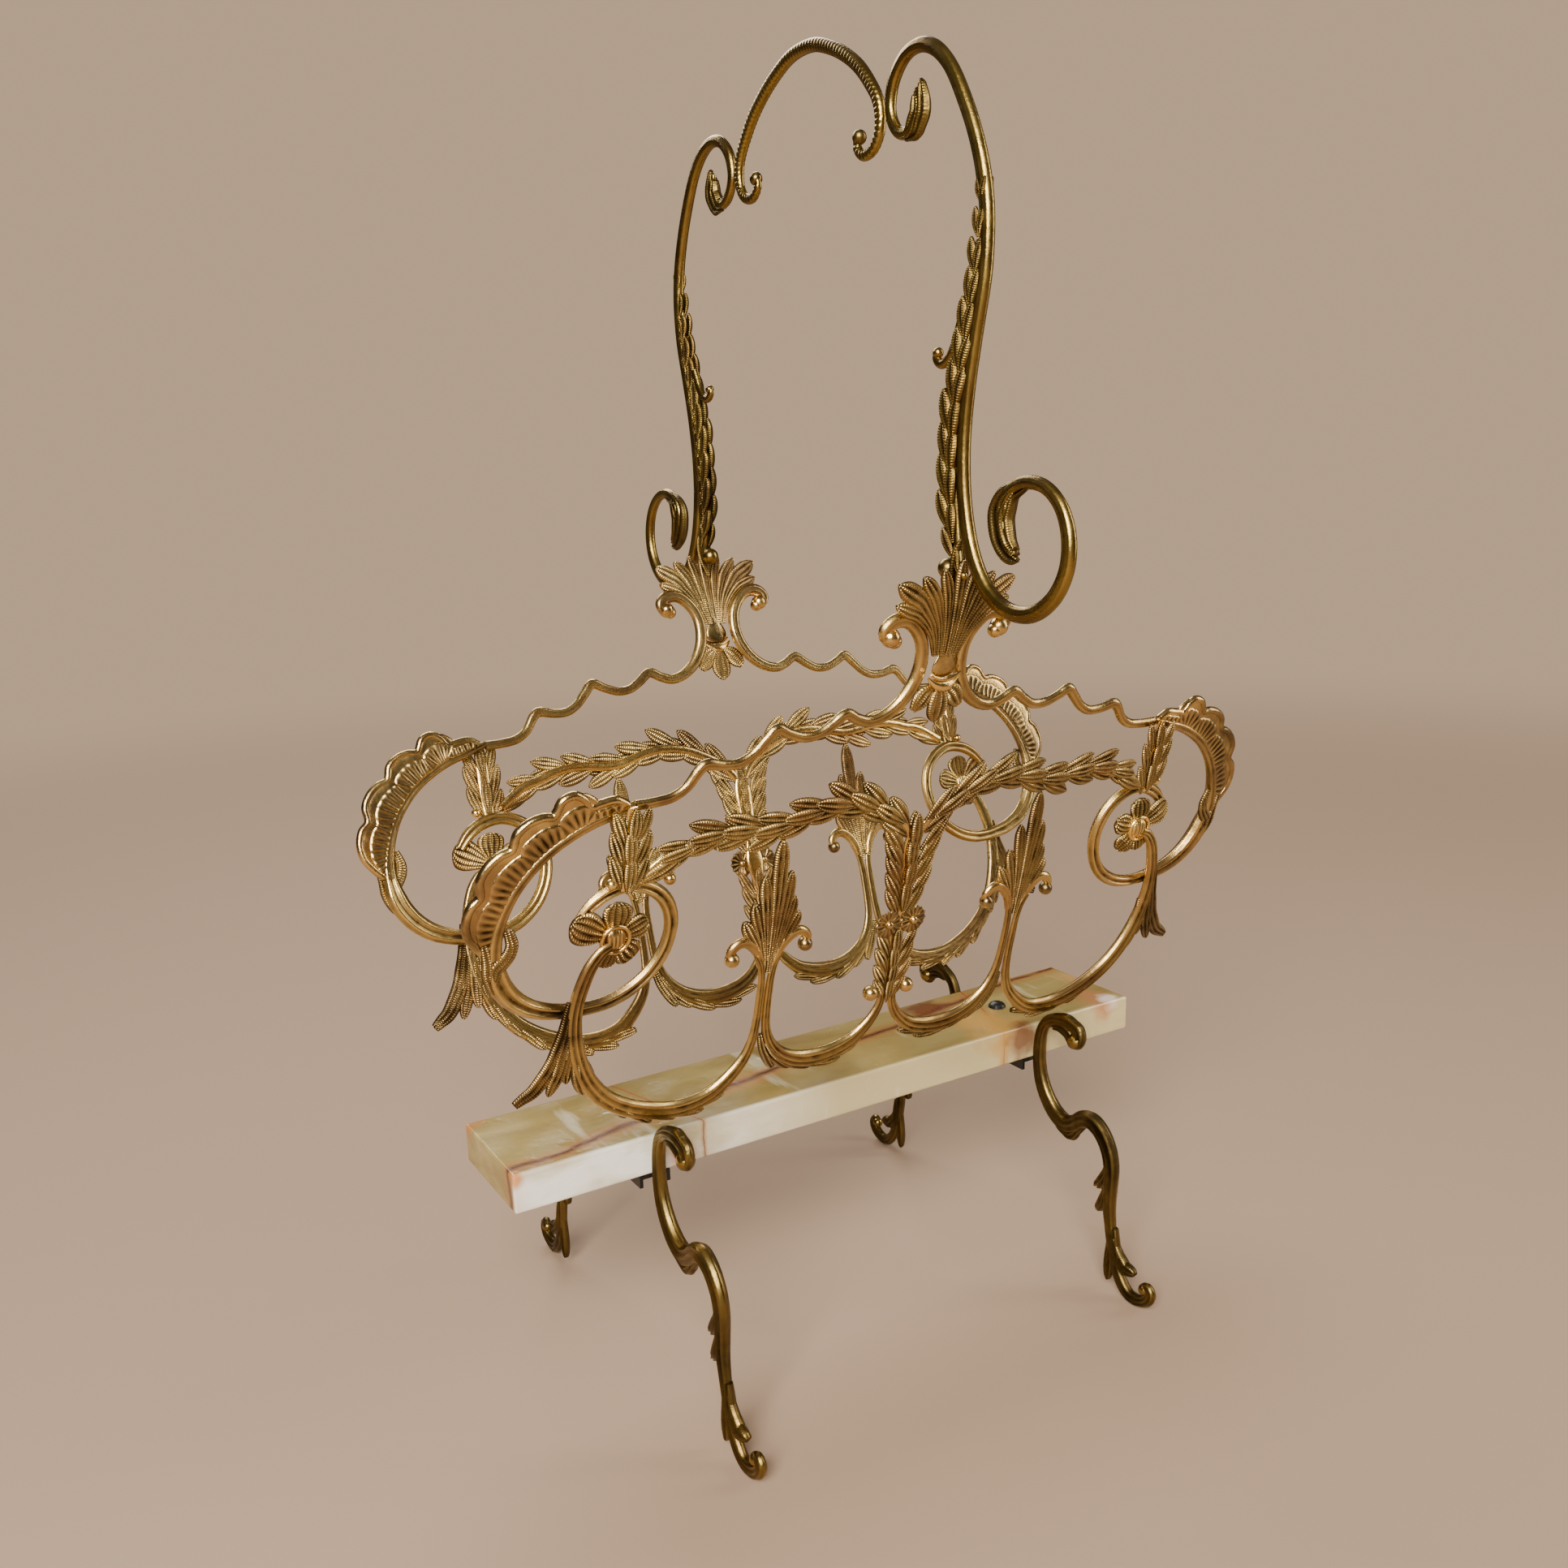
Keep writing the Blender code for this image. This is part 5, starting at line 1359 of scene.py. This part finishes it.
# %% [markdown]
# ## Floor, light and camera
# A pale floor and three big soft lamps are enough. Away from the rack the floor fades to
# an even glow, and the camera sees a sky of the same colour, so the floor runs into the
# background. Metal shows what it mirrors, so the lamps are large and stand apart, the
# sky that the metal sees is kept dim, and a light path node keeps the far floor dim in
# reflections too. That gives the brass its dark side.

# %% Floor, lights and camera
floor_mesh = bpy.data.meshes.new("floor")
floor_mesh.from_pydata([(-60, -60, 0), (60, -60, 0), (60, 60, 0), (-60, 60, 0)], [], [(0, 1, 2, 3)])
floor = bpy.data.objects.new("floor", floor_mesh)
bpy.context.scene.collection.objects.link(floor)
BACKDROP = {"Color": (0.62, 0.43, 0.28, 1), "Strength": 0.95}
MIRRORED_GLOW = 0.3
# From how far to how far the floor fades, and the sky's glow from the horizon upwards.
FADE = {1: 0.7, 2: 2.4}
SKY_GLOW = {1: 0.0, 2: 0.9, 3: 0.03, 4: 0.20}
pale, pale_tree, matte = new_material("pale_floor")
matte.inputs["Base Color"].default_value = (0.33, 0.225, 0.15, 1)
matte.inputs["Roughness"].default_value = 0.85
spot = object_place(pale_tree)
reach = node(pale_tree, "ShaderNodeVectorMath", {0: spot}, operation="LENGTH").outputs["Value"]
away = node(pale_tree, "ShaderNodeMapRange", {0: reach, **FADE}, interpolation_type="SMOOTHSTEP")
in_view = pale_tree.nodes.new("ShaderNodeLightPath").outputs["Is Camera Ray"]
strength = calc(pale_tree, "MULTIPLY_ADD", in_view, BACKDROP["Strength"] - MIRRORED_GLOW, MIRRORED_GLOW)
glow = node(pale_tree, "ShaderNodeEmission", {**BACKDROP, "Strength": strength})
shown_floor = node(pale_tree, "ShaderNodeMixShader", {
    0: away.outputs[0], 1: matte.outputs[0], 2: glow.outputs[0]})
pale_tree.links.new(shown_floor.outputs[0], pale_tree.nodes["Material Output"].inputs[0])
floor_mesh.materials.append(pale)

world = bpy.data.worlds.new("studio")
world.use_nodes = True
sky_tree = world.node_tree
sky = sky_tree.nodes["Background"]
sky.inputs["Color"].default_value = (0.82, 0.72, 0.60, 1)
over = sky_tree.nodes.new("ShaderNodeTexCoord").outputs["Generated"]
height = node(sky_tree, "ShaderNodeSeparateXYZ", {0: over}).outputs[2]
height = node(sky_tree, "ShaderNodeMapRange", {0: height, **SKY_GLOW}).outputs[0]
sky_tree.links.new(height, sky.inputs["Strength"])
seen = node(sky_tree, "ShaderNodeBackground", BACKDROP)
path = node(sky_tree, "ShaderNodeLightPath")
shown_sky = node(sky_tree, "ShaderNodeMixShader", {
    0: path.outputs["Is Camera Ray"], 1: sky.outputs[0], 2: seen.outputs[0]})
sky_tree.links.new(shown_sky.outputs[0], sky_tree.nodes["World Output"].inputs[0])
bpy.context.scene.world = world


def lamp(name, location, aim, size, power, colour):
    data = bpy.data.lights.new(name, "AREA")
    data.shape = "RECTANGLE"
    data.size = size[0]
    data.size_y = size[1]
    data.energy = power
    data.color = colour
    obj = bpy.data.objects.new(name, data)
    obj.location = location
    obj.rotation_euler = (Vector(aim) - Vector(location)).to_track_quat("-Z", "Y").to_euler()
    bpy.context.scene.collection.objects.link(obj)


lamp("key", (-1.2, -1.3, 1.25), (0, 0, 0.25), (1.0, 1.1), 108, (1.0, 0.96, 0.90))
lamp("fill", (1.5, -0.8, 0.9), (0, 0, 0.25), (0.5, 1.5), 17, (1.0, 0.95, 0.88))
lamp("rim", (0.2, 1.5, 1.6), (0, 0, 0.3), (1.6, 0.8), 34, (1.0, 0.98, 0.95))

CAMERA_PLACE = (-0.3478, -0.5259, 0.3970)
CAMERA_RIGHT = (0.8654, -0.4997, -0.0387)
CAMERA_AHEAD = (0.4764, 0.8441, -0.2459)
lens = bpy.data.cameras.new("camera")
lens.lens = 31.51
lens.sensor_width = 36.0
lens.shift_x = 0.0370
lens.shift_y = 0.0312
lens.clip_start = 0.01
camera = bpy.data.objects.new("camera", lens)
right = Vector(CAMERA_RIGHT).normalized()
ahead = Vector(CAMERA_AHEAD).normalized()
turn = Matrix((right, right.cross(ahead), -ahead)).transposed().to_4x4()
camera.matrix_world = Matrix.Translation(CAMERA_PLACE) @ turn
bpy.context.scene.collection.objects.link(camera)
bpy.context.scene.camera = camera
print("lens in mm:", lens.lens)
